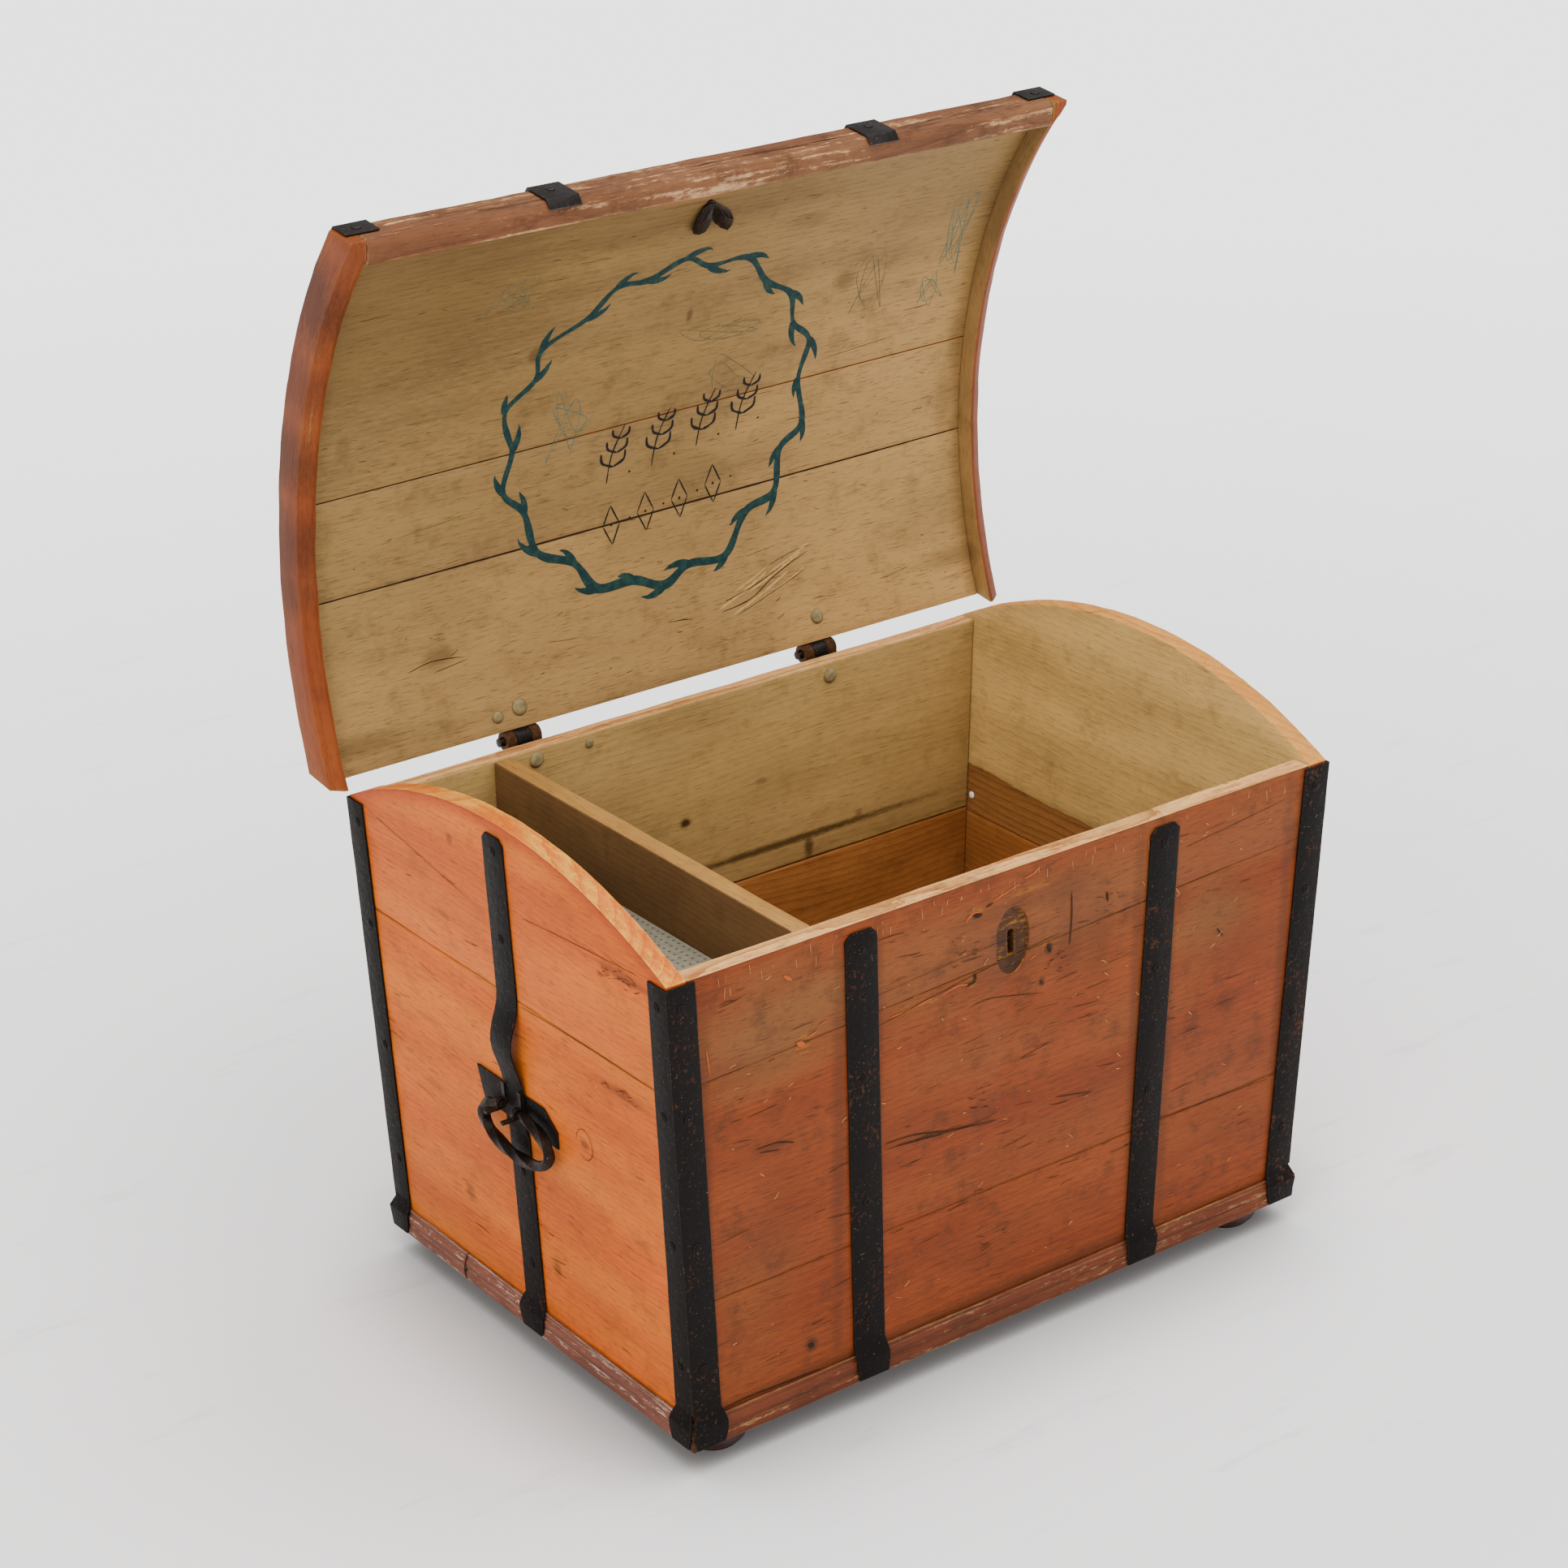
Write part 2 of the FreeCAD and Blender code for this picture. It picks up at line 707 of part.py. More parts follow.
def handle_eye(y_middle):
    # A square bar that lies on the strap, rolls round the ring's pintle and stands out below it
    pivot_x = -side_x(eye_z) - eye_reach
    y_low = y_middle - eye_width / 2
    along = Vector(0, eye_width, 0)
    roll = Part.makeCylinder(eye_outside, eye_width, Vector(pivot_x, y_low, eye_z), Vector(0, 1, 0))
    leg_top_z = eye_z + eye_leg_height
    leg = flat_face([
        (-side_x(eye_z) - strap_over_plate - eye_seat, y_low, eye_z),
        (-side_x(plate_high_z) - strap_over_plate - eye_seat, y_low, plate_high_z),
        (-side_x(leg_top_z) - strap_over_plate - 2 * eye_seat, y_low, leg_top_z),
        (-side_x(leg_top_z) - strap_over_plate - 2 * eye_seat - iron_thick, y_low, leg_top_z),
        (-side_x(plate_high_z) - strap_over_plate - eye_seat - iron_thick, y_low, plate_high_z),
        (-side_x(eye_z) - strap_over_plate - eye_seat - iron_thick, y_low, eye_z),
    ]).extrude(along)
    tail = box(pivot_x - eye_tail, pivot_x, y_low, y_low + eye_width, eye_z - eye_outside, eye_z - eye_inside)
    bore = Part.makeCylinder(eye_inside, eye_width + 2 * overrun, Vector(pivot_x, y_low - overrun, eye_z),
                             Vector(0, 1, 0))
    return roll.fuse(leg).fuse(tail).cut(bore).removeSplitter()


def handle_ring():
    # An open oval of square bar, twisted along its length, whose ends turn in to the two eyes
    pivot_x = -side_x(eye_z) - eye_reach
    back_eye = end_strap_y + eye_spacing / 2
    front_eye = end_strap_y - eye_spacing / 2
    centre_y = end_strap_y + ring_shift
    centre_z = eye_z - ring_drop
    back_end_y = back_eye + eye_width / 2 + ring_end_gap
    front_end_y = front_eye - eye_width / 2 - ring_end_gap
    start = math.acos((back_end_y - centre_y) / ring_half_width)
    finish = math.acos((front_end_y - centre_y) / ring_half_width) - 2 * math.pi
    sections = []
    for step in range(ring_sections + 1):
        share = step / ring_sections
        angle = start + (finish - start) * share
        middle = Vector(pivot_x, centre_y + ring_half_width * math.cos(angle),
                        centre_z + ring_half_height * math.sin(angle))
        outward = Vector(0, ring_half_height * math.cos(angle), ring_half_width * math.sin(angle)).normalize()
        across = Vector(1, 0, 0)
        from_end_share = min(share, 1 - share) / ring_taper_share
        bar = ring_end_bar + (ring_bar - ring_end_bar) * min(1, from_end_share)
        turn = 2 * math.pi * ring_twist_turns * share
        corners = []
        for corner in range(4):
            swing = turn + math.pi / 2 * corner
            corners.append(middle + (outward * math.cos(swing) + across * math.sin(swing)) * (bar / math.sqrt(2)))
        sections.append(corners)
    ring = faceted_solid(sections)
    for eye_y, end_y in ((back_eye, back_end_y), (front_eye, front_end_y)):
        away = math.copysign(1, end_y - eye_y)
        tip = eye_y - away * (eye_width / 2 + pintle_past_eye)
        length = abs(end_y - tip) + ring_end_bar / 2
        ring = ring.fuse(Part.makeCylinder(pintle_radius, length, Vector(pivot_x, tip, eye_z), Vector(0, away, 0)))
    return ring


def make_handles():
    plate = handle_plate()
    eyes = group([handle_eye(end_strap_y + eye_spacing / 2), handle_eye(end_strap_y - eye_spacing / 2)])
    ring = handle_ring()
    return {
        "handle_plate_left": plate,
        "handle_plate_right": mirrored(plate),
        "handle_staple_left": eyes,
        "handle_staple_right": group([mirrored(eyes)]),
        "handle_ring_left": ring,
        "handle_ring_right": mirrored(ring),
    }


# Hinges

def hinge_leaf(x_middle):
    # The fixed leaf: a pointed strap on the back board with two knuckles
    half = hinge_width / 2
    half_leaf = hinge_leaf_width / 2
    top_z = rim_height - hinge_leaf_top_gap
    low_z = top_z - hinge_leaf_length
    knuckle_low_z = hinge_z - 2 * knuckle_radius
    inner = [(side_y(top_z), top_z), (side_y(low_z), low_z)]
    outer = [(y + hinge_leaf_thick, z) for y, z in reversed(inner)]
    strip = extrude_along_x(inner + outer, x_middle - half, x_middle + half)
    outline = outline_wire([("line", [
        (x_middle - half, top_z), (x_middle + half, top_z), (x_middle + half, knuckle_low_z),
        (x_middle + half_leaf, knuckle_low_z - hinge_leaf_point), (x_middle + half_leaf, low_z + hinge_leaf_point),
        (x_middle, low_z), (x_middle - half_leaf, low_z + hinge_leaf_point),
        (x_middle - half_leaf, knuckle_low_z - hinge_leaf_point), (x_middle - half, knuckle_low_z),
        (x_middle - half, top_z)])])
    leaf = strip.common(swept_outline(outline))
    leaf = leaf.fuse(rod(knuckle_radius, x_middle - half, x_middle + half, hinge_y, hinge_z))
    gap_half = hinge_centre_width / 2 + knuckle_gap
    leaf = leaf.cut(box(x_middle - gap_half, x_middle + gap_half, side_y(low_z) - overrun, hinge_y + overrun,
                        hinge_z - knuckle_radius - hinge_leaf_top_gap, hinge_z + overrun))
    return leaf.cut(rod(hinge_pin_radius + hinge_pin_gap, x_middle - half - overrun, x_middle + half + overrun,
                        hinge_y, hinge_z)).removeSplitter()


def hinge_pin(x_middle):
    half = hinge_width / 2
    return rod(hinge_pin_radius, x_middle - half - hinge_pin_past_left, x_middle + half + hinge_pin_past_right,
               hinge_y, hinge_z)


def make_hinges():
    return {
        "back_strap_left": hinge_leaf(hinge_left_x),
        "back_strap_right": hinge_leaf(hinge_right_x),
        "hinge_pin_left": hinge_pin(hinge_left_x),
        "hinge_pin_right": hinge_pin(hinge_right_x),
    }


# Lid, shaped closed

def arch_height(radius, y):
    return arch_z + math.sqrt(radius ** 2 - y ** 2)


def arch_shell(inside, outside, x_low, x_high, y_low, y_high):
    # A stretch of curved board between two radii, cut off straight down at its front and back
    ring = rod(outside, x_low, x_high, 0, arch_z).cut(rod(inside, x_low - overrun, x_high + overrun, 0, arch_z))
    return ring.common(box(x_low - overrun, x_high + overrun, y_low, y_high, rim_height / 2,
                           arch_top + stave_outside))


def make_staves():
    strip_inside_y = lid_front_y + lid_front_thick
    shell = arch_shell(stave_inside, stave_outside, -lid_inside_x, lid_inside_x, strip_inside_y, lid_rear_y)
    reach = lid_inside_x + overrun

    def rear_of(left_y, right_y):
        # Everything behind a line that runs from left_y to right_y over the lid's width
        slope = (right_y - left_y) / (2 * lid_inside_x)
        face = flat_face([(-reach, left_y - slope * overrun, 0), (reach, right_y + slope * overrun, 0),
                          (reach, lid_rear_y + overrun, 0), (-reach, lid_rear_y + overrun, 0)])
        return face.extrude(Vector(0, 0, arch_height(stave_outside, 0) + overrun))

    behind_front_seam = rear_of(lid_seam_front_left, lid_seam_front_right)
    behind_rear_seam = rear_of(lid_seam_rear_left, lid_seam_rear_right)
    pin_way = arch_normal(split_pin_y)
    pin_hole = Part.makeCylinder(split_pin_radius + split_pin_gap, stave_thick + 2 * overrun,
                                 arch_point(stave_inside, split_pin_x, split_pin_y) - pin_way * overrun, pin_way)
    return {
        "lid_stave_front": shell.cut(behind_front_seam).cut(pin_hole),
        "lid_stave_middle": shell.common(behind_front_seam).cut(behind_rear_seam),
        "lid_stave_rear": shell.common(behind_rear_seam),
    }


def make_lid_rims():
    rim_inside = stave_inside - lid_rim_drop
    side = arch_shell(rim_inside, stave_outside, -lid_outside_x, -lid_inside_x, lid_front_y, lid_rear_y)
    side = side.cut(box(-lid_outside_x - overrun, -lid_inside_x + overrun, lid_front_y - overrun, 0,
                        0, lid_front_low_z))
    # The chamfer is a cone that is wider at the outer face
    cone_reach = lid_rim_chamfer_width + overrun
    growth = lid_rim_chamfer_height / lid_rim_chamfer_width
    start_x = -lid_outside_x + lid_rim_chamfer_width
    cone = Part.makeCone(rim_inside, rim_inside + growth * cone_reach, cone_reach,
                         Vector(start_x, 0, arch_z), Vector(-1, 0, 0))
    side = side.cut(cone)

    low = lid_front_low_z
    inner_y = lid_front_y + lid_front_thick
    high = arch_height(stave_outside, 0)
    front = extrude_along_x([
        (lid_front_y, low + lid_front_chamfer), (lid_front_y, high), (inner_y, high), (inner_y, low),
        (lid_front_y + lid_front_chamfer, low)], -lid_inside_x, lid_inside_x)
    front = front.common(arch_cylinder(stave_outside))
    return {"lid_rim_left": side, "lid_rim_right": mirrored(side), "lid_rim_front": front}


def lid_band(x_low, x_high, follows_chamfer):
    # An iron band over the lid that turns down the front rim
    band = arch_shell(stave_outside, stave_outside + iron_thick, x_low, x_high, lid_front_y - iron_thick, lid_rear_y)
    corner_z = arch_height(stave_outside, lid_front_y)
    outer_corner_z = arch_height(stave_outside + iron_thick, lid_front_y - iron_thick)
    if follows_chamfer:
        turn_z = lid_front_low_z + lid_front_chamfer
        tip_y = lid_front_y + lid_front_chamfer
        drop = [(lid_front_y, corner_z), (lid_front_y, turn_z), (tip_y, lid_front_low_z),
                (tip_y, lid_front_low_z - iron_thick), (lid_front_y, turn_z - iron_thick * math.sqrt(2)),
                (lid_front_y - iron_thick, turn_z - iron_thick / 2), (lid_front_y - iron_thick, outer_corner_z)]
    else:
        low_z = corner_z - lid_end_band_lap
        drop = [(lid_front_y, corner_z), (lid_front_y, low_z), (lid_front_y - iron_thick, low_z),
                (lid_front_y - iron_thick, outer_corner_z)]
    return band.fuse(extrude_along_x(drop, x_low, x_high)).removeSplitter()


def lid_hinge_band(x_middle):
    half = lid_band_width / 2
    centre_half = hinge_centre_width / 2
    band = lid_band(x_middle - half, x_middle + half, True)
    top_z = arch_height(stave_outside + iron_thick, lid_rear_y)
    drop = box(x_middle - centre_half, x_middle + centre_half, lid_rear_y, lid_rear_y + iron_thick, hinge_z, top_z)
    knuckle = rod(knuckle_radius, x_middle - centre_half, x_middle + centre_half, hinge_y, hinge_z)
    bore = rod(hinge_pin_radius + hinge_pin_gap, x_middle - half, x_middle + half, hinge_y, hinge_z)
    return band.fuse(drop).fuse(knuckle).cut(bore).removeSplitter()


def make_lid_bands():
    left_edge = -lid_outside_x + lid_end_band_inset
    end_band = lid_band(left_edge, left_edge + lid_band_width, False)
    return {
        "lid_band_end_left": end_band,
        "lid_band_end_right": mirrored(end_band),
        "lid_hinge_band_left": lid_hinge_band(hinge_left_x),
        "lid_hinge_band_right": lid_hinge_band(hinge_right_x),
    }


def arch_point(radius, x, y):
    return Vector(x, y, arch_height(radius, y))


def arch_normal(y):
    return Vector(0, y, arch_height(stave_outside, y) - arch_z).normalize()


def split_pin():
    # Two flat prongs on the inner face, a shank through the board and a forged eye outside
    normal = arch_normal(split_pin_y)
    seat = arch_point(stave_inside, split_pin_x, split_pin_y) - normal * split_pin_seat
    lean = math.atan2(-split_pin_y, arch_height(stave_inside, split_pin_y) - arch_z)
    to_chord = split_pin_straight_length / (2 * stave_inside)
    half = split_pin_prong_width / 2
    widest_share = 0.7
    prongs = ((split_pin_straight_length, split_pin_straight_turn),
              (split_pin_slanted_length, split_pin_slanted_turn))
    flat = None
    for length, turn in prongs:
        leaf = flat_face([(-split_pin_radius, 0, 0), (-half, length * widest_share, 0), (0, length, 0),
                          (half, length * widest_share, 0), (split_pin_radius, 0, 0)])
        leaf = leaf.extrude(Vector(0, 0, -split_pin_prong_thick))
        leaf.rotate(Vector(0, 0, 0), Vector(0, 0, 1), -turn)
        flat = leaf if flat is None else flat.fuse(leaf)
    flat.rotate(Vector(0, 0, 0), Vector(1, 0, 0), math.degrees(lean - to_chord))
    flat.translate(seat)
    root = seat - normal * split_pin_prong_thick
    eye_away = split_pin_prong_thick + stave_thick + 2 * split_pin_seat + split_pin_eye_radius + split_pin_eye_bar
    eye_middle = root + normal * eye_away
    shank = Part.makeCylinder(split_pin_radius, eye_away - split_pin_eye_radius, root, normal)
    side = Vector(split_pin_eye_bar, 0, 0)
    outside = split_pin_eye_radius + split_pin_eye_bar
    inside = split_pin_eye_radius - split_pin_eye_bar
    eye = Part.makeCylinder(outside, 2 * split_pin_eye_bar, eye_middle - side, Vector(1, 0, 0))
    eye = eye.cut(Part.makeCylinder(inside, 2 * split_pin_eye_bar, eye_middle - side, Vector(1, 0, 0)))
    return shank.fuse(flat).fuse(eye).removeSplitter()


# Nails and rivets

def turned_to(shape, place, normal):
    shape.Placement = FreeCAD.Placement(place, FreeCAD.Rotation(Vector(0, 0, 1), normal))
    return shape


def faceted_head(radius, height, radius_shares, height_shares, sides):
    # A forged head: flat facets between loops that grow smaller as they rise
    loops = []
    for radius_share, height_share in zip(radius_shares, height_shares):
        loop = []
        for index in range(sides):
            angle = 2 * math.pi * index / sides
            loop.append(Vector(radius * radius_share * math.cos(angle), radius * radius_share * math.sin(angle),
                               height * height_share))
        loops.append(loop)
    return faceted_solid(loops)


def nail(place, normal):
    head = faceted_head(nail_radius, nail_head, nail_radius_shares, nail_height_shares, nail_sides)
    return turned_to(head, place, normal)


def rivet(place, normal, radius):
    head = faceted_head(radius, radius * rivet_head_share, rivet_radius_shares, rivet_height_shares, rivet_sides)
    return turned_to(head, place, normal)


front_lean = (rim_depth - base_depth) / 2 / (rim_height - foot_height)
side_lean = (rim_width - base_width) / 2 / (rim_height - foot_height)
front_normal = Vector(0, -1, -front_lean).normalize()
back_normal = Vector(0, 1, -front_lean).normalize()
left_normal = Vector(-1, 0, -side_lean).normalize()


def make_body_nails():
    def front_strap_middle(z):
        share = (z - strap_foot_z) / (front_strap_top_z - strap_foot_z)
        return front_strap_foot_x + (front_strap_top_x - front_strap_foot_x) * share

    strap_height_shares = (0.96, 0.68, 0.40, 0.13)
    front_nails = []
    for share in strap_height_shares:
        z = strap_foot_z + (front_strap_top_z - strap_foot_z) * share
        front_nails.append(nail(Vector(front_strap_middle(z), -side_y(z) - iron_thick, z), front_normal))
    front_nails += [mirrored(head) for head in front_nails]

    # On the ends the nails stand above the strap's bow and below the handle's plate
    end_nails = []
    above_bow_shares = (0.90, 0.36)
    below_plate_shares = (0.77, 0.32)
    heights = [end_strap_bow_top_z + (end_strap_top_z - end_strap_bow_top_z) * share for share in above_bow_shares]
    heights += [strap_foot_z + (plate_low_z - strap_foot_z) * share for share in below_plate_shares]
    for z in heights:
        end_nails.append(nail(Vector(-side_x(z) - iron_thick, end_strap_y, z), left_normal))
    end_nails += [mirrored(head) for head in end_nails]

    corner_nails = []
    corner_height_shares = (0.95, 0.72, 0.44, 0.17)
    for share in corner_height_shares:
        z = strap_foot_z + (rim_height - strap_foot_z) * share
        inset = corner_nail_inset
        on_front = nail(Vector(-side_x(z) + inset, -side_y(z) - iron_thick, z), front_normal)
        on_side = nail(Vector(-side_x(z) - iron_thick, -side_y(z) + inset, z), left_normal)
        on_side_back = nail(Vector(-side_x(z) - iron_thick, side_y(z) - inset, z), left_normal)
        on_back = nail(Vector(-side_x(z) + inset, side_y(z) + iron_thick, z), back_normal)
        for head in (on_front, on_side, on_side_back, on_back):
            corner_nails += [head, mirrored(head)]
    return {
        "front_strap_nails": group(front_nails),
        "end_strap_nails": group(end_nails),
        "corner_nails": group(corner_nails),
    }


def make_rivets():
    back_rivets = []
    for x, drop, radius in back_rivet_places:
        z = rim_height - drop
        back_rivets.append(rivet(Vector(x, side_y(z) - back_thick, z), back_normal * -1, radius))
    inner_face = Vector(side_x(corner_pin_z) - end_thick, 0, corner_pin_z)
    inner_face.y = side_y(corner_pin_z) - back_thick - corner_pin_inset
    inward = Vector(-1, 0, side_lean).normalize()
    return {
        "back_rivets": group(back_rivets),
        "corner_pin": rivet(inner_face, inward, corner_pin_radius),
    }


def make_lid_fasteners():
    rivets = []
    for x, from_rear, radius in lid_rivet_places:
        y = lid_rear_y - from_rear
        rivets.append(rivet(arch_point(stave_inside - rivet_seat, x, y), arch_normal(y) * -1, radius))
    nails = []
    end_x = lid_outside_x - lid_end_band_inset - lid_band_width / 2
    along_shares = (-0.72, -0.36, 0.0, 0.36, 0.72)
    for x in (-end_x, hinge_left_x, hinge_right_x, end_x):
        for share in along_shares:
            y = lid_rear_y * share
            nails.append(nail(arch_point(stave_outside + iron_thick, x, y), arch_normal(y)))
        face_z = arch_height(stave_outside, lid_front_y) - lid_end_band_lap / 2
        nails.append(nail(Vector(x, lid_front_y - iron_thick, face_z), Vector(0, -1, 0)))
    return {"lid_rivets": group(rivets), "lid_band_nails": group(nails), "split_pin": split_pin()}


# Putting the chest together

def open_lid(shape):
    turned = shape.copy()
    turned.rotate(Vector(0, hinge_y, hinge_z), Vector(1, 0, 0), -open_angle)
    return turned


def gather(*makers):
    pieces = {}
    for maker in makers:
        pieces.update(maker())
    return pieces


chest_pieces = gather(make_front, make_back, make_ends, make_bottom, make_mouldings, make_feet, make_till,
                      make_front_straps, make_end_straps, make_corner_irons, make_handles, make_hinges,
                      make_body_nails, make_rivets)
lid_pieces = gather(make_staves, make_lid_rims, make_lid_bands, make_lid_fasteners)
nodes = dict(chest_pieces)
nodes.update({name: open_lid(shape) for name, shape in lid_pieces.items()})

# The origin is on the floor, under the middle of the whole object as it stands open
whole = Part.makeCompound(list(nodes.values())).optimalBoundingBox(False, False)
middle_y = (whole.YMin + whole.YMax) / 2
print("whole object", [round(value, 3) for value in (whole.XLength, whole.YLength, whole.ZLength)])
print("middle of the chest lies at y", round(-middle_y, 4), "lowest point", round(whole.ZMin, 4))

for name, shape in nodes.items():
    placed = shape.copy()
    placed.translate(Vector(0, -middle_y, 0))
    placed.exportStep(os.path.join("parts", name + ".step"))
    if not placed.isValid() or not placed.Solids:
        print("check the shape of", name)
print(len(nodes), "nodes")
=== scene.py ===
import json
import math
import random

import bmesh
import bpy
from mathutils import Matrix, Vector, noise


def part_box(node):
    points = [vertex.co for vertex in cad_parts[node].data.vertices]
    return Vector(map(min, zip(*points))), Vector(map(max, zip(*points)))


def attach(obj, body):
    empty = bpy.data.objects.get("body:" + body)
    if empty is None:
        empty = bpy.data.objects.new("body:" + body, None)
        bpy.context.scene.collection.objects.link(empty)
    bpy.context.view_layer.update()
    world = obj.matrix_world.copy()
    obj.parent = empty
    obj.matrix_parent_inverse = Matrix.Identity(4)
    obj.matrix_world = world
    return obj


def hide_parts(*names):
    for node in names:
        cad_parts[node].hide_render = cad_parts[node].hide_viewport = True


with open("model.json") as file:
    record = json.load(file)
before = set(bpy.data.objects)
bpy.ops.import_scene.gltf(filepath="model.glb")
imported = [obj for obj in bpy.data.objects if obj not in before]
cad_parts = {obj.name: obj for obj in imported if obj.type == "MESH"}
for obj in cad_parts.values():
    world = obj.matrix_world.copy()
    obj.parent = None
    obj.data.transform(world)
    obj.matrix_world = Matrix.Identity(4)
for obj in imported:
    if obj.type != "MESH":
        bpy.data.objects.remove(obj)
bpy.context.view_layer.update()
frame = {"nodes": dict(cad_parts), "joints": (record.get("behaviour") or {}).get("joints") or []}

# A painted pine chest with an arched lid, forged straps and ring handles, lid open
joints = {joint["name"]: joint for joint in frame["joints"]}
hingeY, hingeZ = (value * 1000 for value in joints["lid_hinge"]["pos_m"][1:])

# Sizes in millimetres, in the chest's own frame: x along the front, y to the back, z up
chest = {
    "rimWidth": 860.0, "rimDepth": 573.0, "rimHeight": 550.0, "baseWidth": 805.0, "baseDepth": 554.5,
    "baseHeight": 28.0, "archTop": 620.0, "archRadius": 621.305, "hingeBehindMiddle": 300.4,
}
lid = {
    "inside": 621.8, "outside": 646.5, "frontY": -334.3, "frontThick": 28.0, "rearY": 288.0,
    "insideX": 436.73, "swing": math.radians(82.0), "unrolled": 640,
    "frontSeam": (-1.0, -15.0), "rearSeam": (110.0, 98.0),
}
moulding = {"proud": 6.8, "slopeFrom": 47.0, "slope": 0.45}
middleY = hingeY - chest["hingeBehindMiddle"]
archZ = chest["archTop"] - chest["archRadius"]


def halfAt(z, across):
    share = (z - chest["baseHeight"]) / (chest["rimHeight"] - chest["baseHeight"])
    return (chest["base" + across] + (chest["rim" + across] - chest["base" + across]) * share) / 2


def chestPlace(x, y, z):
    return Vector((x, y + middleY, z)) / 1000


def openLid(x, y, z):
    # From the closed lid's place to the open one, turned about the hinge pins
    dy, dz = y + middleY - hingeY, z - hingeZ
    return Vector((x, hingeY + dy * math.cos(lid["swing"]) + dz * math.sin(lid["swing"]),
                   hingeZ - dy * math.sin(lid["swing"]) + dz * math.cos(lid["swing"]))) / 1000


def closedLid(point):
    # The other way round, in millimetres of the chest's own frame
    dy, dz = point.y * 1000 - hingeY, point.z * 1000 - hingeZ
    return Vector((point.x * 1000, hingeY + dy * math.cos(lid["swing"]) - dz * math.sin(lid["swing"]) - middleY,
                   hingeZ + dy * math.sin(lid["swing"]) + dz * math.cos(lid["swing"])))


def lidInside(x, y, lift=0.0):
    radius = lid["inside"] - lift
    turn = math.asin(y / lid["inside"])
    return openLid(x, radius * math.sin(turn), archZ + radius * math.cos(turn))


def lidFrontFace(x, z, lift=0.0):
    return openLid(x, lid["frontY"] - lift, z)


def frontFace(x, z, lift=0.0):
    return chestPlace(x, -halfAt(z, "Depth") - lift, z)


def leftFace(y, z, lift=0.0):
    return chestPlace(-halfAt(z, "Width") - lift, y, z)


def leftMoulding(y, z, lift=0.0):
    # The moulding stands proud of the end and slopes back over its upper edge
    slope = max(0.0, z - moulding["slopeFrom"]) * moulding["slope"]
    return chestPlace(-halfAt(z, "Width") - moulding["proud"] + slope - lift, y, z)


# Colours and nodes. A string that starts with # is a colour, as a screen shows it.

def linearFromHex(code):
    channels = [int(code[start:start + 2], 16) / 255 for start in (1, 3, 5)]
    return tuple(c / 12.92 if c <= 0.04045 else ((c + 0.055) / 1.055) ** 2.4 for c in channels) + (1.0,)


def fillNode(tree, node, inputs):
    # Values by socket, or a row of them for the first sockets in turn
    for name, value in inputs.items() if isinstance(inputs, dict) else enumerate(inputs):
        if isinstance(value, bpy.types.NodeSocket):
            tree.links.new(value, node.inputs[name])
        else:
            isColour = isinstance(value, str) and value.startswith("#")
            node.inputs[name].default_value = linearFromHex(value) if isColour else value


def addNode(tree, kind, inputs=None, out=0, **settings):
    node = tree.nodes.new(kind if "Node" in kind else "ShaderNode" + kind)
    for key, value in settings.items():
        setattr(node, key, value)
    fillNode(tree, node, inputs or {})
    return node if out is None else node.outputs[out]


def edgeMask(tree, reach, fromMin, fromMax, strength=1.0):
    # Strong where the rounded normal leaves the true one, so along the edges
    rounded = addNode(tree, "Bevel", {"Radius": reach}, samples=4)
    facing = addNode(tree, "NewGeometry", out="Normal")
    alike = addNode(tree, "VectorMath", (rounded, facing), "Value", operation="DOT_PRODUCT")
    return addNode(tree, "MapRange", (alike, fromMin, fromMax, 0.0, strength))


def fromLine(tree, place, y, z):
    # Distance from a line along x
    shifted = addNode(tree, "VectorMath", (place, (0, -y, -z)), operation="ADD")
    across = addNode(tree, "VectorMath", (shifted, (0, 1, 1)), operation="MULTIPLY")
    return addNode(tree, "VectorMath", (across,), "Value", operation="LENGTH")


def spotMask(tree, place, spots, ragged):
    # Soft round or drawn-out patches: centre and reach in millimetres, then how strong
    total = 0.0
    for centre, reach, strength in spots:
        away = addNode(tree, "VectorMath", (place, centre), operation="SUBTRACT")
        share = addNode(tree, "VectorMath", (away, tuple(1 / r for r in reach)), operation="MULTIPLY")
        far = addNode(tree, "VectorMath", (share,), "Value", operation="LENGTH")
        rough = addNode(tree, "Math", (ragged, 1.6, far), operation="MULTIPLY_ADD")
        patch = addNode(tree, "MapRange", (rough, 2.1, 1.3, 0.0, strength))
        total = addNode(tree, "Math", (patch, total), operation="MAXIMUM")
    return total


def startMaterial(name, unit=1000):
    # With the object's own coordinates, in millimetres unless told otherwise
    material = bpy.data.materials.new(name)
    material.use_nodes = True
    tree = material.node_tree
    place = addNode(tree, "TexCoord", out="Object")
    spot = addNode(tree, "Mapping", {"Vector": place, "Scale": (unit, unit, unit)})
    return material, tree, tree.nodes["Principled BSDF"], spot


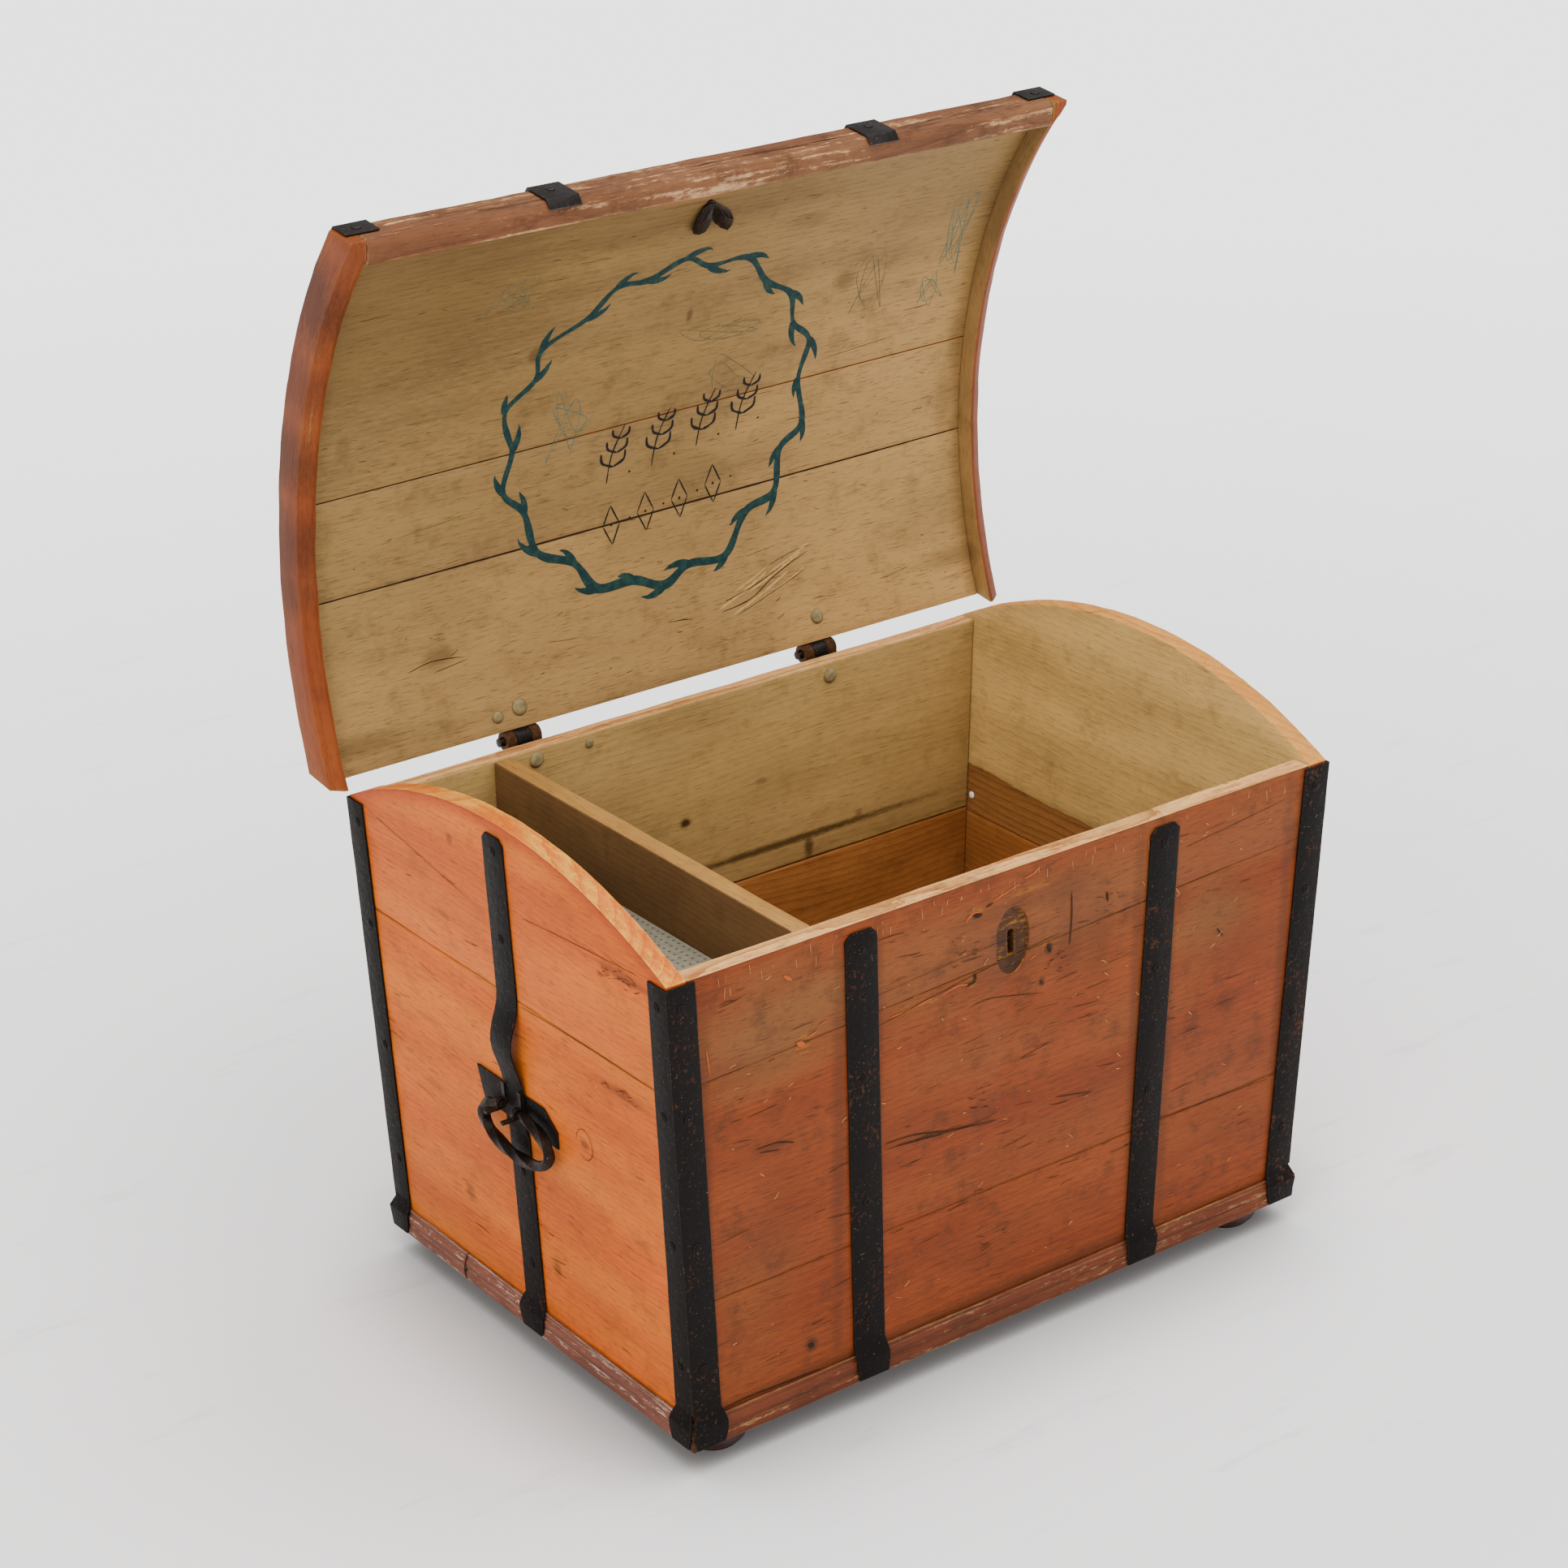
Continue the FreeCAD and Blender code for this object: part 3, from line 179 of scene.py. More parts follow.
# Pine under paint: sawn boards with growth rings 7.5 mm apart and fibres that show as fine lines along
# the board. The paint is thin, so the grain shows through it, and it is rubbed off along the edges.
# The four colours are the paint, its darker shade, the bare wood and its late wood.
pineLook = {
    "ringGap": 7.5, "pith": (0, 60.0, 90.0), "ringShow": 0.35, "fibreShow": 0.22, "poreShow": 0.5,
    "coverage": 0.86, "blotch": 0.35, "streak": 0.30, "chips": 0.5, "nickShow": 0.25,
    "edgeWear": 0.7, "edgeReach": 5.0, "grime": "#3a2415", "grimeShow": 0.35, "edgeGrime": 0.0,
    "paintRough": 0.48, "woodRough": 0.72, "gloss": 0.12, "bump": 0.35,
    "bareSpots": None, "darkSpots": None, "paleSpots": None, "paintedAbove": None, "tint": None, "archBand": None,
}
# Sizes of the patterns drawn out along the grain: millimetres along and across it, detail and roughness.
# A wave at ringScale would have one ring to the millimetre.
grain = {
    "bend": (420, 85, 2.0, 0.5), "fibres": (33, 1.4, 3.0, 0.6), "patches": (190, 70, 6.0, 0.62),
    "streaks": (130, 6, 5.0, 0.5), "chips": (14, 4, 7.0, 0.75), "bands": (600, 75, 3.0, 0.5),
    "pores": (17, 0.9, 2.0, 0.5), "bendReach": 42,
    "ringScale": 0.314,
}


def pineFinish(name, colours, **changes):
    look = {**pineLook, **changes}
    paint, paintDark, wood, woodDark = colours
    material, tree, shader, spot = startMaterial(name)
    board = addNode(tree, "Attribute", out="Vector", attribute_name="boardPlace")

    def drawn(pattern, out=0):
        along, across, detail, roughness = grain[pattern]
        place = addNode(tree, "Mapping", {"Vector": board, "Scale": (1 / along, 1 / across, 1 / across)})
        return addNode(tree, "TexNoise", {"Vector": place, "Scale": 1.0, "Detail": detail,
                                          "Roughness": roughness}, out)

    # Grain: rings about the heart of the log, bent a little along the board
    bend = (0, grain["bendReach"], grain["bendReach"])
    bent = addNode(tree, "VectorMath", (drawn("bend", "Color"), bend, board), operation="MULTIPLY_ADD")
    aboutPith = addNode(tree, "Mapping", {"Vector": bent, "Location": look["pith"]})
    rings = addNode(tree, "TexWave", {"Vector": aboutPith, "Scale": grain["ringScale"] / look["ringGap"],
                                      "Distortion": 0.8, "Detail": 2.0, "Detail Scale": 3.0}, "Fac",
                    wave_type="RINGS", rings_direction="X", wave_profile="SAW")
    lateWood = addNode(tree, "Math", (rings, 3.0), operation="POWER")
    fibres = drawn("fibres")

    # Wear: broad patches, rubbed streaks along the grain and small chips
    blotch, streak, chips = drawn("patches"), drawn("streaks"), drawn("chips")
    edge = edgeMask(tree, look["edgeReach"] / 1000, 1.0, 0.72)
    cover = addNode(tree, "Math", (blotch, look["blotch"], look["coverage"] - look["blotch"] / 2),
                    operation="MULTIPLY_ADD")
    for wear, amount in ((streak, look["streak"]), (chips, look["chips"])):
        centred = addNode(tree, "Math", (wear, 0.5), operation="SUBTRACT")
        cover = addNode(tree, "Math", (centred, amount, cover), operation="MULTIPLY_ADD")
    cover = addNode(tree, "Math", (edge, -look["edgeWear"], cover), operation="MULTIPLY_ADD")
    # Nicks: bright specks of about 2 mm where something struck the board
    specks = addNode(tree, "TexNoise", {"Vector": spot, "Scale": 1 / 4.5, "Detail": 3.0, "Roughness": 0.8})
    nicks = addNode(tree, "MapRange", (specks, 0.68, 0.74, 0.0, look["nickShow"]))
    cover = addNode(tree, "Math", (cover, nicks), operation="SUBTRACT")
    if look["bareSpots"]:
        bare = spotMask(tree, spot, look["bareSpots"], chips)
        cover = addNode(tree, "Math", (cover, bare), operation="SUBTRACT")

    stain = 0.0
    if look["paintedAbove"]:
        # The paint ends at a height, with a dark line where it ran out
        lineHeight, lineStain = look["paintedAbove"]
        height = addNode(tree, "SeparateXYZ", {"Vector": spot}, "Z")
        rough = addNode(tree, "Math", (blotch, 26.0, height), operation="MULTIPLY_ADD")
        below = addNode(tree, "MapRange", (rough, lineHeight + 10, lineHeight + 16, 1.2, 0.0))
        cover = addNode(tree, "Math", (cover, below), operation="SUBTRACT")
        off = addNode(tree, "Math", (rough, lineHeight + 13), operation="SUBTRACT")
        off = addNode(tree, "Math", (off,), operation="ABSOLUTE")
        stain = addNode(tree, "MapRange", (off, 13.0, 1.0, 0.0, lineStain))
        stain = addNode(tree, "Math", (stain, chips), operation="MULTIPLY")
    painted = addNode(tree, "MapRange", (cover, 0.42, 0.56))

    # Colours
    woodShade = addNode(tree, "Math", (fibres, 0.55), operation="MULTIPLY")
    woodShade = addNode(tree, "Math", (lateWood, 0.75, woodShade), operation="MULTIPLY_ADD")
    woodColour = addNode(tree, "Mix", {0: woodShade, 6: wood, 7: woodDark}, 2, data_type="RGBA")
    paintShade = addNode(tree, "Math", (lateWood, look["ringShow"]), operation="MULTIPLY")
    fibreShade = addNode(tree, "Math", (fibres, look["fibreShow"] * 2, paintShade), operation="MULTIPLY_ADD")
    blotchShade = addNode(tree, "MapRange", (blotch, 0.35, 0.7, -0.15, 0.55))
    shade = addNode(tree, "Math", (fibreShade, blotchShade), operation="ADD", use_clamp=True)
    colour = addNode(tree, "Mix", {0: shade, 6: paint, 7: paintDark}, 2, data_type="RGBA")
    if look["tint"]:
        # Thin paint lets broad bands of the wood's own colour through
        tint, tintShow = look["tint"]
        bands = addNode(tree, "MapRange", (drawn("bands"), 0.42, 0.68, 0.0, tintShow))
        colour = addNode(tree, "Mix", {0: bands, 6: colour, 7: tint}, 2, data_type="RGBA")
    if look["archBand"]:
        # Along the arched top the paint lies thicker and redder
        band, width = look["archBand"]
        ragged = addNode(tree, "Math", (blotch, width, fromLine(tree, spot, middleY, archZ)),
                         operation="MULTIPLY_ADD")
        near = addNode(tree, "MapRange", (ragged, chest["archRadius"] - width * 0.7,
                                          chest["archRadius"] + width * 0.4))
        colour = addNode(tree, "Mix", {0: near, 6: colour, 7: band}, 2, data_type="RGBA")
    # Patches mixed to another colour: the paint's own browner tone on the front, painted light on the lid's inside
    if look["paleSpots"]:
        pale, patches = look["paleSpots"]
        faded = spotMask(tree, spot, patches, blotch)
        colour = addNode(tree, "Mix", {0: faded, 6: colour, 7: pale}, 2, data_type="RGBA")
    colour = addNode(tree, "Mix", {0: painted, 6: woodColour, 7: colour}, 2, data_type="RGBA")
    pores = addNode(tree, "MapRange", (drawn("pores"), 0.56, 0.72, 0.0, look["poreShow"]))
    colour = addNode(tree, "Mix", {0: pores, 6: colour, 7: look["grime"]}, 2, data_type="RGBA")
    dirt = addNode(tree, "TexNoise", {"Vector": spot, "Scale": 1 / 38, "Detail": 6.0, "Roughness": 0.7})
    dirt = addNode(tree, "MapRange", (dirt, 0.52, 0.78, 0.0, look["grimeShow"]))
    dirt = addNode(tree, "Math", (edge, look["edgeGrime"], dirt), operation="MULTIPLY_ADD")
    dirt = addNode(tree, "Math", (dirt, stain), operation="ADD", use_clamp=True)
    # Dark spots take the grime colour: stains, and painted shade where a finish is given it, as at the lid's top
    # and in the slits at the chest's lower corners
    if look["darkSpots"]:
        dark = spotMask(tree, spot, look["darkSpots"], chips)
        dirt = addNode(tree, "Math", (dirt, dark), operation="MAXIMUM", use_clamp=True)

    rough = addNode(tree, "Mix", {0: painted, 2: look["woodRough"], 3: look["paintRough"]})
    raised = addNode(tree, "Math", (lateWood, 0.5, fibres), operation="MULTIPLY_ADD")
    height = addNode(tree, "Math", (painted, 0.6, raised), operation="MULTIPLY_ADD")
    colour = addNode(tree, "Mix", {0: dirt, 6: colour, 7: look["grime"]}, 2, data_type="RGBA")
    rough = addNode(tree, "Math", (fibres, 0.16, rough), operation="MULTIPLY_ADD")
    bump = addNode(tree, "Bump", {"Height": height, "Strength": look["bump"], "Distance": 0.0006})
    fillNode(tree, shader, {"Base Color": colour, "Specular IOR Level": look["gloss"], "Roughness": rough,
                            "Normal": bump})
    return material


# Forged iron, blacked with oil: a dull black skin with hammer marks about 9 mm wide, brown rust freckles
# and grey metal where edges have been rubbed
ironLook = {
    "skin": "#232427", "worn": "#5b5a58", "rust": "#5b3825", "rustShow": 0.5, "rustSize": 5.0,
    "hingeRust": 0.0, "hingeBrown": "#57381f", "dust": "#8a7462", "dustShow": 0.5, "edgeWear": 0.8,
    "roughness": 0.55, "metallic": 0.02, "gloss": 0.07, "hammer": 9.0, "bump": 0.8,
}


def forgedIron(name, **changes):
    look = {**ironLook, **changes}
    material, tree, shader, spot = startMaterial(name)
    freckle = addNode(tree, "TexNoise", {"Vector": spot, "Scale": 1 / look["rustSize"], "Detail": 6.0,
                                         "Roughness": 0.65})
    patch = addNode(tree, "TexNoise", {"Vector": spot, "Scale": 1 / 55, "Detail": 3.0})
    both = addNode(tree, "Math", (patch, 0.5, freckle), operation="MULTIPLY_ADD")
    rust = addNode(tree, "MapRange", (both, 0.86, 0.96, 0.0, look["rustShow"]))
    edge = edgeMask(tree, 0.0016, 0.98, 0.78, look["edgeWear"])
    rubbed = addNode(tree, "TexNoise", {"Vector": spot, "Scale": 1 / 3.0, "Detail": 5.0})
    rubbed = addNode(tree, "Math", (edge, rubbed), operation="MULTIPLY")
    colour = addNode(tree, "Mix", {0: rubbed, 6: look["skin"], 7: look["worn"]}, 2, data_type="RGBA")
    colour = addNode(tree, "Mix", {0: rust, 6: colour, 7: look["rust"]}, 2, data_type="RGBA")
    if look["hingeRust"]:
        # Where the knuckles rub there is brown rust and no blacking
        rusted = addNode(tree, "Math", (freckle, 16.0, fromLine(tree, spot, hingeY, hingeZ)),
                         operation="MULTIPLY_ADD")
        rusted = addNode(tree, "MapRange", (rusted, 24.0, 15.0, 0.0, look["hingeRust"]))
        colour = addNode(tree, "Mix", {0: rusted, 6: colour, 7: look["hingeBrown"]}, 2, data_type="RGBA")
    pale = addNode(tree, "TexNoise", {"Vector": spot, "Scale": 1 / 2.6, "Detail": 2.0, "Roughness": 0.7})
    pale = addNode(tree, "MapRange", (pale, 0.67, 0.74, 0.0, look["dustShow"]))
    dents = addNode(tree, "TexNoise", {"Vector": spot, "Scale": 1 / look["hammer"], "Detail": 2.0})
    height = addNode(tree, "Math", (rust, 0.4, dents), operation="MULTIPLY_ADD")
    colour = addNode(tree, "Mix", {0: pale, 6: colour, 7: look["dust"]}, 2, data_type="RGBA")
    rough = addNode(tree, "Math", (freckle, 0.3, look["roughness"] - 0.15), operation="MULTIPLY_ADD")
    bump = addNode(tree, "Bump", {"Height": height, "Strength": look["bump"], "Distance": 0.0012})
    fillNode(tree, shader, {"Base Color": colour, "Metallic": look["metallic"], "Normal": bump,
                            "Specular IOR Level": look["gloss"], "Roughness": rough})
    return material


# Brushed colour on the boards: distemper strokes, thin pencil lines and the dark of open cracks.
# Each has a slight change of strength along the stroke, where the brush ran dry.
strokeLook = {"dryShow": 0.5, "roughness": 0.7, "gloss": 0.15, "size": 9.0}


def strokeColour(name, wet, dry, **changes):
    look = {**strokeLook, **changes}
    material, tree, shader, spot = startMaterial(name)
    patchy = addNode(tree, "TexNoise", {"Vector": spot, "Scale": 1 / look["size"], "Detail": 6.0,
                                        "Roughness": 0.7})
    patchy = addNode(tree, "MapRange", (patchy, 0.45, 0.7, 0.0, look["dryShow"]))
    colour = addNode(tree, "Mix", {0: patchy, 6: wet, 7: dry}, 2, data_type="RGBA")
    fillNode(tree, shader, {"Base Color": colour, "Roughness": look["roughness"],
                            "Specular IOR Level": look["gloss"]})
    return material


# Pieces

def newObject(name, data):
    made = bpy.data.objects.new(name, data)
    bpy.context.scene.collection.objects.link(made)
    return made


def finishPiece(piece, body, slotName, *nodes):
    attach(piece, body)
    if nodes:
        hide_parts(*nodes)


def newPiece(name, shape, materials, smoothBelow=32):
    # shape is a bmesh in metres, at its own place
    mesh = bpy.data.meshes.new(name)
    shape.to_mesh(mesh)
    shape.free()
    for material in materials:
        mesh.materials.append(material)
    for polygon in mesh.polygons:
        polygon.use_smooth = True
    mesh.set_sharp_from_angle(angle=math.radians(smoothBelow))
    return newObject(name, mesh)


def sharpEdges(shape, degrees):
    return [edge for edge in shape.edges if edge.calc_face_angle(0) > math.radians(degrees)]


def roundEdges(shape, edges, reach, segments=2):
    bmesh.ops.bevel(shape, geom=edges, offset=reach / 1000, segments=segments, profile=0.5, affect="EDGES",
                    clamp_overlap=True)


def cleanedShape(node, near, flat):
    # A node's mesh with its doubled points joined and its flat faces made whole
    shape = bmesh.new()
    shape.from_mesh(frame["nodes"][node].data)
    bmesh.ops.remove_doubles(shape, verts=shape.verts, dist=near)
    bmesh.ops.dissolve_limit(shape, angle_limit=math.radians(flat), verts=shape.verts, edges=shape.edges)
    return shape


def softenedPiece(node, materials, along, values, **changes):
    # A board or strap as the joiner or smith left it: edges a little uneven, then rounded
    values = {**values, **changes}
    shape = cleanedShape(node, 1e-5, 0.6)
    low, high = (Vector(corner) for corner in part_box(node))
    reach = high[along] - low[along]
    count = int(reach * 1000 / values["every"])
    normal = Vector([float(axis == along) for axis in range(3)])
    for step in range(1, count):
        point = low.copy()
        point[along] += reach * step / count
        bmesh.ops.bisect_plane(shape, geom=shape.verts[:] + shape.edges[:] + shape.faces[:], plane_co=point,
                               plane_no=normal, dist=1e-6)
    sharp = sharpEdges(shape, 24)
    if values["uneven"]:
        for vert in {vert for edge in sharp for vert in edge.verts}:
            place = vert.co * (1000 / values["unevenSize"])
            vert.co += vert.normal * -1 * (noise.noise(place) * 0.5 + 0.5) * values["uneven"] / 1000
    roundEdges(shape, sharp, values["round"], values["segments"])
    return newPiece("look_" + node, shape, materials)


# Each point's place in its own board: along the grain, across it and into the log, in millimetres

def alongX(point):
    return point.xzy * 1000


def flatAlongX(point):
    return point * 1000


def alongY(point):
    return point.yzx * 1000


def alongZ(point):
    return point.zxy * 1000


def acrossArch(point):
    closed = closedLid(point)
    turn = math.atan2(closed.y, closed.z - archZ)
    return Vector((closed.x, turn * lid["unrolled"], math.hypot(closed.y, closed.z - archZ)))


def alongArch(point):
    return acrossArch(point).yxz


def lidFrontPlace(point):
    return closedLid(point).xzy


def markBoard(mesh, placeOf, seed):
    layer = mesh.attributes.new("boardPlace", "FLOAT_VECTOR", "POINT")
    shift = Vector((seed * 733.0, seed * 171.0, seed * 37.0))
    for vert, value in zip(mesh.vertices, layer.data):
        value.vector = placeOf(vert.co) + shift


# Camera, at the photograph's angle
cameraValues = {
    "place": (-2183.9, -2818.8, 2111.0), "azimuth": -35.73, "elevation": 22.01, "roll": -1.22,
    "lens": 84.67, "shift": (0.0423, -0.0705), "sensor": 36, "far": 100,
}


def makeCamera(values):
    azimuth, elevation, roll = (math.radians(values[key]) for key in ("azimuth", "elevation", "roll"))
    back = Vector((math.sin(azimuth) * math.cos(elevation), -math.cos(azimuth) * math.cos(elevation),
                   math.sin(elevation)))
    level = Vector((math.cos(azimuth), math.sin(azimuth), 0))
    upright = back.cross(level)
    right = level * math.cos(roll) + upright * math.sin(roll)
    up = upright * math.cos(roll) - level * math.sin(roll)
    data = bpy.data.cameras.new("photographCamera")
    data.lens, data.sensor_width, data.clip_end = values["lens"], values["sensor"], values["far"]
    data.shift_x, data.shift_y = values["shift"]
    camera = newObject("photographCamera", data)
    place = chestPlace(*values["place"])
    camera.matrix_world = Matrix.Translation(place) @ Matrix((right, up, back)).transposed().to_4x4()
    bpy.context.scene.camera = camera


makeCamera(cameraValues)
print("camera is in place")


# Spots of wear: the middle of each on its face, how far it reaches along the face and how strong it is.
# Through the board they reach any depth that the face may lie at.
spotDepth = {"front": 900, "leftX": -430, "left": 60, "rimX": -448, "rim": 26}


def frontSpots(*rows):
    return [((x, 0, z), (reachX, spotDepth["front"], reachZ), strength) for x, z, reachX, reachZ, strength in rows]


def leftSpots(*rows):
    return [((spotDepth["leftX"], y + middleY, z), (spotDepth["left"], reachY, reachZ), strength)
            for y, z, reachY, reachZ, strength in rows]


def lidSpots(*rows):
    return [(tuple(lidInside(x, y) * 1000), reach, strength) for x, y, reach, strength in rows]


frontBare = frontSpots(
    (-3, 468, 60, 62, 0.2), (40, 520, 330, 30, 0.2), (230, 515, 90, 44, 0.16), (-267, 438, 14, 12, 0.75),
    (-125, 434, 44, 5, 0.5), (45, 452, 12, 8, 0.5), (-52, 515, 12, 8, 0.6), (-54, 440, 9, 12, 0.55),
    (-290, 520, 16, 12, 0.3), (20, 520, 60, 7, 0.45))
# Dark spots on the front: stains and marks, and at the foot of both sides, x ±403 about 50 mm up, painted shade in
# the slits there
frontDark = frontSpots(
    (-52, 511, 6, 5, 0.9), (46, 446, 6, 9, 0.95), (-52, 443, 4, 7, 0.85), (37, 409, 5, 6, 0.9),
    (74, 446, 26, 56, 0.36), (-10, 505, 90, 12, 0.34), (-258, 92, 8, 9, 0.92), (300, 400, 70, 60, 0.2),
    (-340, 430, 60, 22, 0.2), (-303, 337, 26, 5, 0.5),
    *((x, 300, 9, 330, 0.42) for x in (-224, -176, 168, 214, -386, 378)),
    (-10, 62, 420, 9, 0.5), (-10, 455, 46, 56, 0.3), (70, 505, 40, 26, 0.4), (110, 440, 26, 70, 0.3),
    (-120, 300, 60, 26, 0.2), (120, 250, 90, 40, 0.16), (-300, 250, 40, 90, 0.16), (300, 150, 70, 40, 0.16),
    (0, 130, 120, 30, 0.14), (-403, 50, 14, 30, 0.95), (403, 50, 14, 30, 0.95))
frontBrown = frontSpots(
    (-300, 470, 110, 66, 0.85), (-120, 470, 150, 66, 0.5), (100, 480, 190, 66, 0.5), (270, 415, 60, 60, 0.7),
    (330, 500, 90, 60, 0.35), (-40, 360, 120, 30, 0.3), (-330, 180, 60, 90, 0.25), (180, 330, 80, 40, 0.25))
# Dark spots on the ends: stains and marks, and near the lower corners, y ±277 about 50 mm up, painted shade in the
# slits there
endDark = leftSpots(
    (-277, 50, 14, 30, 0.95), (277, 50, 14, 30, 0.95), (-119, 306, 8, 6, 0.6), (-211, 533, 46, 7, 0.5),
    (-195, 396, 52, 6, 0.45), (88, 570, 6, 7, 0.55), (115, 474, 12, 5, 0.4), (117, 142, 9, 12, 0.5),
    (-45, 125, 8, 12, 0.5), (170, 330, 30, 5, 0.3), (170, 250, 20, 5, 0.3))
backDark = frontSpots(
    (130, 345, 210, 5, 0.85), (-16, 408, 8, 6, 0.98), (156, 330, 7, 16, 0.8), (-120, 344, 90, 5, 0.6),
    (90, 430, 8, 5, 0.4), (230, 350, 6, 8, 0.5))
# Small stains on the lid's inside, and two broad patches at its top left, (-360, -230) and (-120, -285), that are
# painted shade
lidDark = lidSpots(
    (241, -127, (16, 16, 14), 0.5), (-167, -121, (12, 12, 12), 0.6), (-290, 197, (20, 14, 12), 0.45),
    (-20, -262, (50, 16, 16), 0.3), (425, -10, (14, 40, 40), 0.3), (330, -235, (200, 90, 90), 0.16),
    (410, 60, (12, 40, 40), 0.25), (420, 240, (60, 20, 14), 0.4), (-400, 262, (50, 14, 12), 0.4),
    (164, -223, (34, 14, 12), 0.35), (30, -127, (4, 12, 9), 0.6), (-395, -60, (12, 20, 20), 0.35),
    (-265, -265, (22, 12, 8), 0.4), (-360, -230, (270, 170, 170), 0.42), (-120, -285, (420, 70, 70), 0.28))
lidBare = lidSpots(
    (-18, -286, (56, 14, 9), 0.9), (150, 214, (66, 11, 11), 0.55), (-250, -262, (20, 9, 6), 0.5),
    (420, 262, (40, 20, 10), 0.5))
# Painted light: pale patches on the lower and right part of the lid's inside
lidPale = lidSpots(
    (330, 40, (230, 190, 190), 0.45), (0, 230, (600, 70, 70), 0.35), (300, 250, (190, 110, 110), 0.6),
    (-60, 190, (260, 90, 90), 0.35))
rimDark = [
    (tuple(openLid(spotDepth["rimX"], y, z) * 1000), (spotDepth["rim"], reach, reach), strength)
    for y, z, reach, strength in ((-250, 585, 60, 0.75), (-150, 610, 40, 0.5), (-60, 630, 44, 0.65),
                                  (40, 630, 50, 0.6), (90, 620, 30, 0.55))]
cornerDark = [((side * 408, y + middleY, 42), (22, 22, 44), 0.95) for side in (-1, 1) for y in (-283, 283)]
splitDark = [((-414, 134 + middleY, 43), (30, 1.7, 40), 0.95)]

# Red distemper outside, browner and dirtier on the front, clear orange on the ends
frontPaint = pineFinish(
    "paintedPineFront", ("#8a4018", "#6d2f12", "#96602a", "#633411"), coverage=0.92, bareSpots=frontBare,
    darkSpots=frontDark, paleSpots=("#744a26", frontBrown), grimeShow=0.8, tint=("#80431e", 0.45), ringShow=0.4,
    fibreShow=0.55, nickShow=0.6, edgeWear=0.25, edgeGrime=0.55, poreShow=0.85)
endPaint = pineFinish(
    "paintedPineEnd", ("#d56214", "#ab4d10", "#d9952d", "#a05913"), coverage=0.98, tint=("#d87d20", 0.5),
    ringShow=0.4, fibreShow=0.4, edgeWear=0.2, edgeGrime=0.35, poreShow=0.7, nickShow=0.4, darkSpots=endDark,
    archBand=("#a8410d", 16.0))
backPaint = pineFinish(
    "paintedPineBack", ("#8e3d19", "#6d2f12", "#c58d52", "#8a5527"), coverage=0.92, tint=("#944f1e", 0.5))
# Olive oil paint inside: thick, dull yellow-green, browned by handling low down and in the till. The till's inner
# faces take a darker copy: painted shade.
oliveLook = {"blotch": 0.25, "edgeWear": 0.3, "grime": "#3c2c14", "grimeShow": 0.35, "ringShow": 0.35}
tillLook = {"coverage": 0.95, "ringShow": 0.3, "edgeWear": 0.5, "grime": "#3c2c14", "grimeShow": 0.35}
oliveWalls = pineFinish(
    "olivePaintedWalls", ("#b59357", "#917445", "#9c6835", "#794c25"), coverage=1.0, tint=("#c29f63", 0.5),
    paintedAbove=(366.0, 0.5), **oliveLook)
# A lighter copy of the olive paint for the right end's inner face: painted light, where the lamp from the left
# falls on it
oliveRight = pineFinish(
    "olivePaintedRightEnd", ("#d5af68", "#ac8b53", "#a4703b", "#7f522a"), coverage=1.0, tint=("#e6bc75", 0.5),
    paintedAbove=(366.0, 0.5), **oliveLook)
oliveBack = pineFinish(
    "olivePaintedBack", ("#b39155", "#907142", "#b98a56", "#78532d"), coverage=1.04, tint=("#c19b60", 0.5),
    darkSpots=backDark, **oliveLook)
# The lid's paint carries painted shade at its top left and painted light low down and to the right, through its
# dark and pale spots
lidInsidePaint = pineFinish(
    "olivePaintedLid", ("#97784b", "#7b603a", "#a98152", "#745230"), coverage=1.04, tint=("#a4844d", 0.5),
    darkSpots=lidDark, bareSpots=lidBare, paleSpots=("#c59a5c", lidPale), poreShow=0.65,
    **{**oliveLook, "ringShow": 0.4, "grimeShow": 0.45})
tillPaint = pineFinish("olivePaintedTill", ("#a97d41", "#886233", "#bb844f", "#714721"), **tillLook)
# Painted shade: a darker, browner copy of the till's paint for the faces inside the till
tillInside = pineFinish("bareTillBoards", ("#745533", "#5d4228", "#81593e", "#4d2e19"), **tillLook)
# Bare pine: brown with age on the hidden boards, pale where a rim is rubbed or planed
bareBoards = pineFinish(
    "bareOldPine", ("#9c6231", "#774620", "#b06f35", "#75431c"), coverage=0.6, ringShow=0.5, grimeShow=0.45)
rimTop = pineFinish(
    "wornRimPine", ("#c27a3f", "#91552a", "#eab776", "#a7723b"), coverage=0.44, blotch=0.5, streak=0.5,
    edgeWear=0.3, grime="#4a2c16", grimeShow=0.5)
freshPine = pineFinish(
    "planedPine", ("#d19143", "#b47530", "#d79a50", "#aa6d2b"), coverage=0.5, edgeWear=0.2, grimeShow=0.2,
    paintRough=0.6)
wornArch = pineFinish(
    "wornArchPine", ("#de7524", "#b75517", "#dea844", "#c56d20"), coverage=0.5, blotch=0.6, streak=0.5,
    edgeWear=0.3, grime="#4a2c16", grimeShow=0.4)
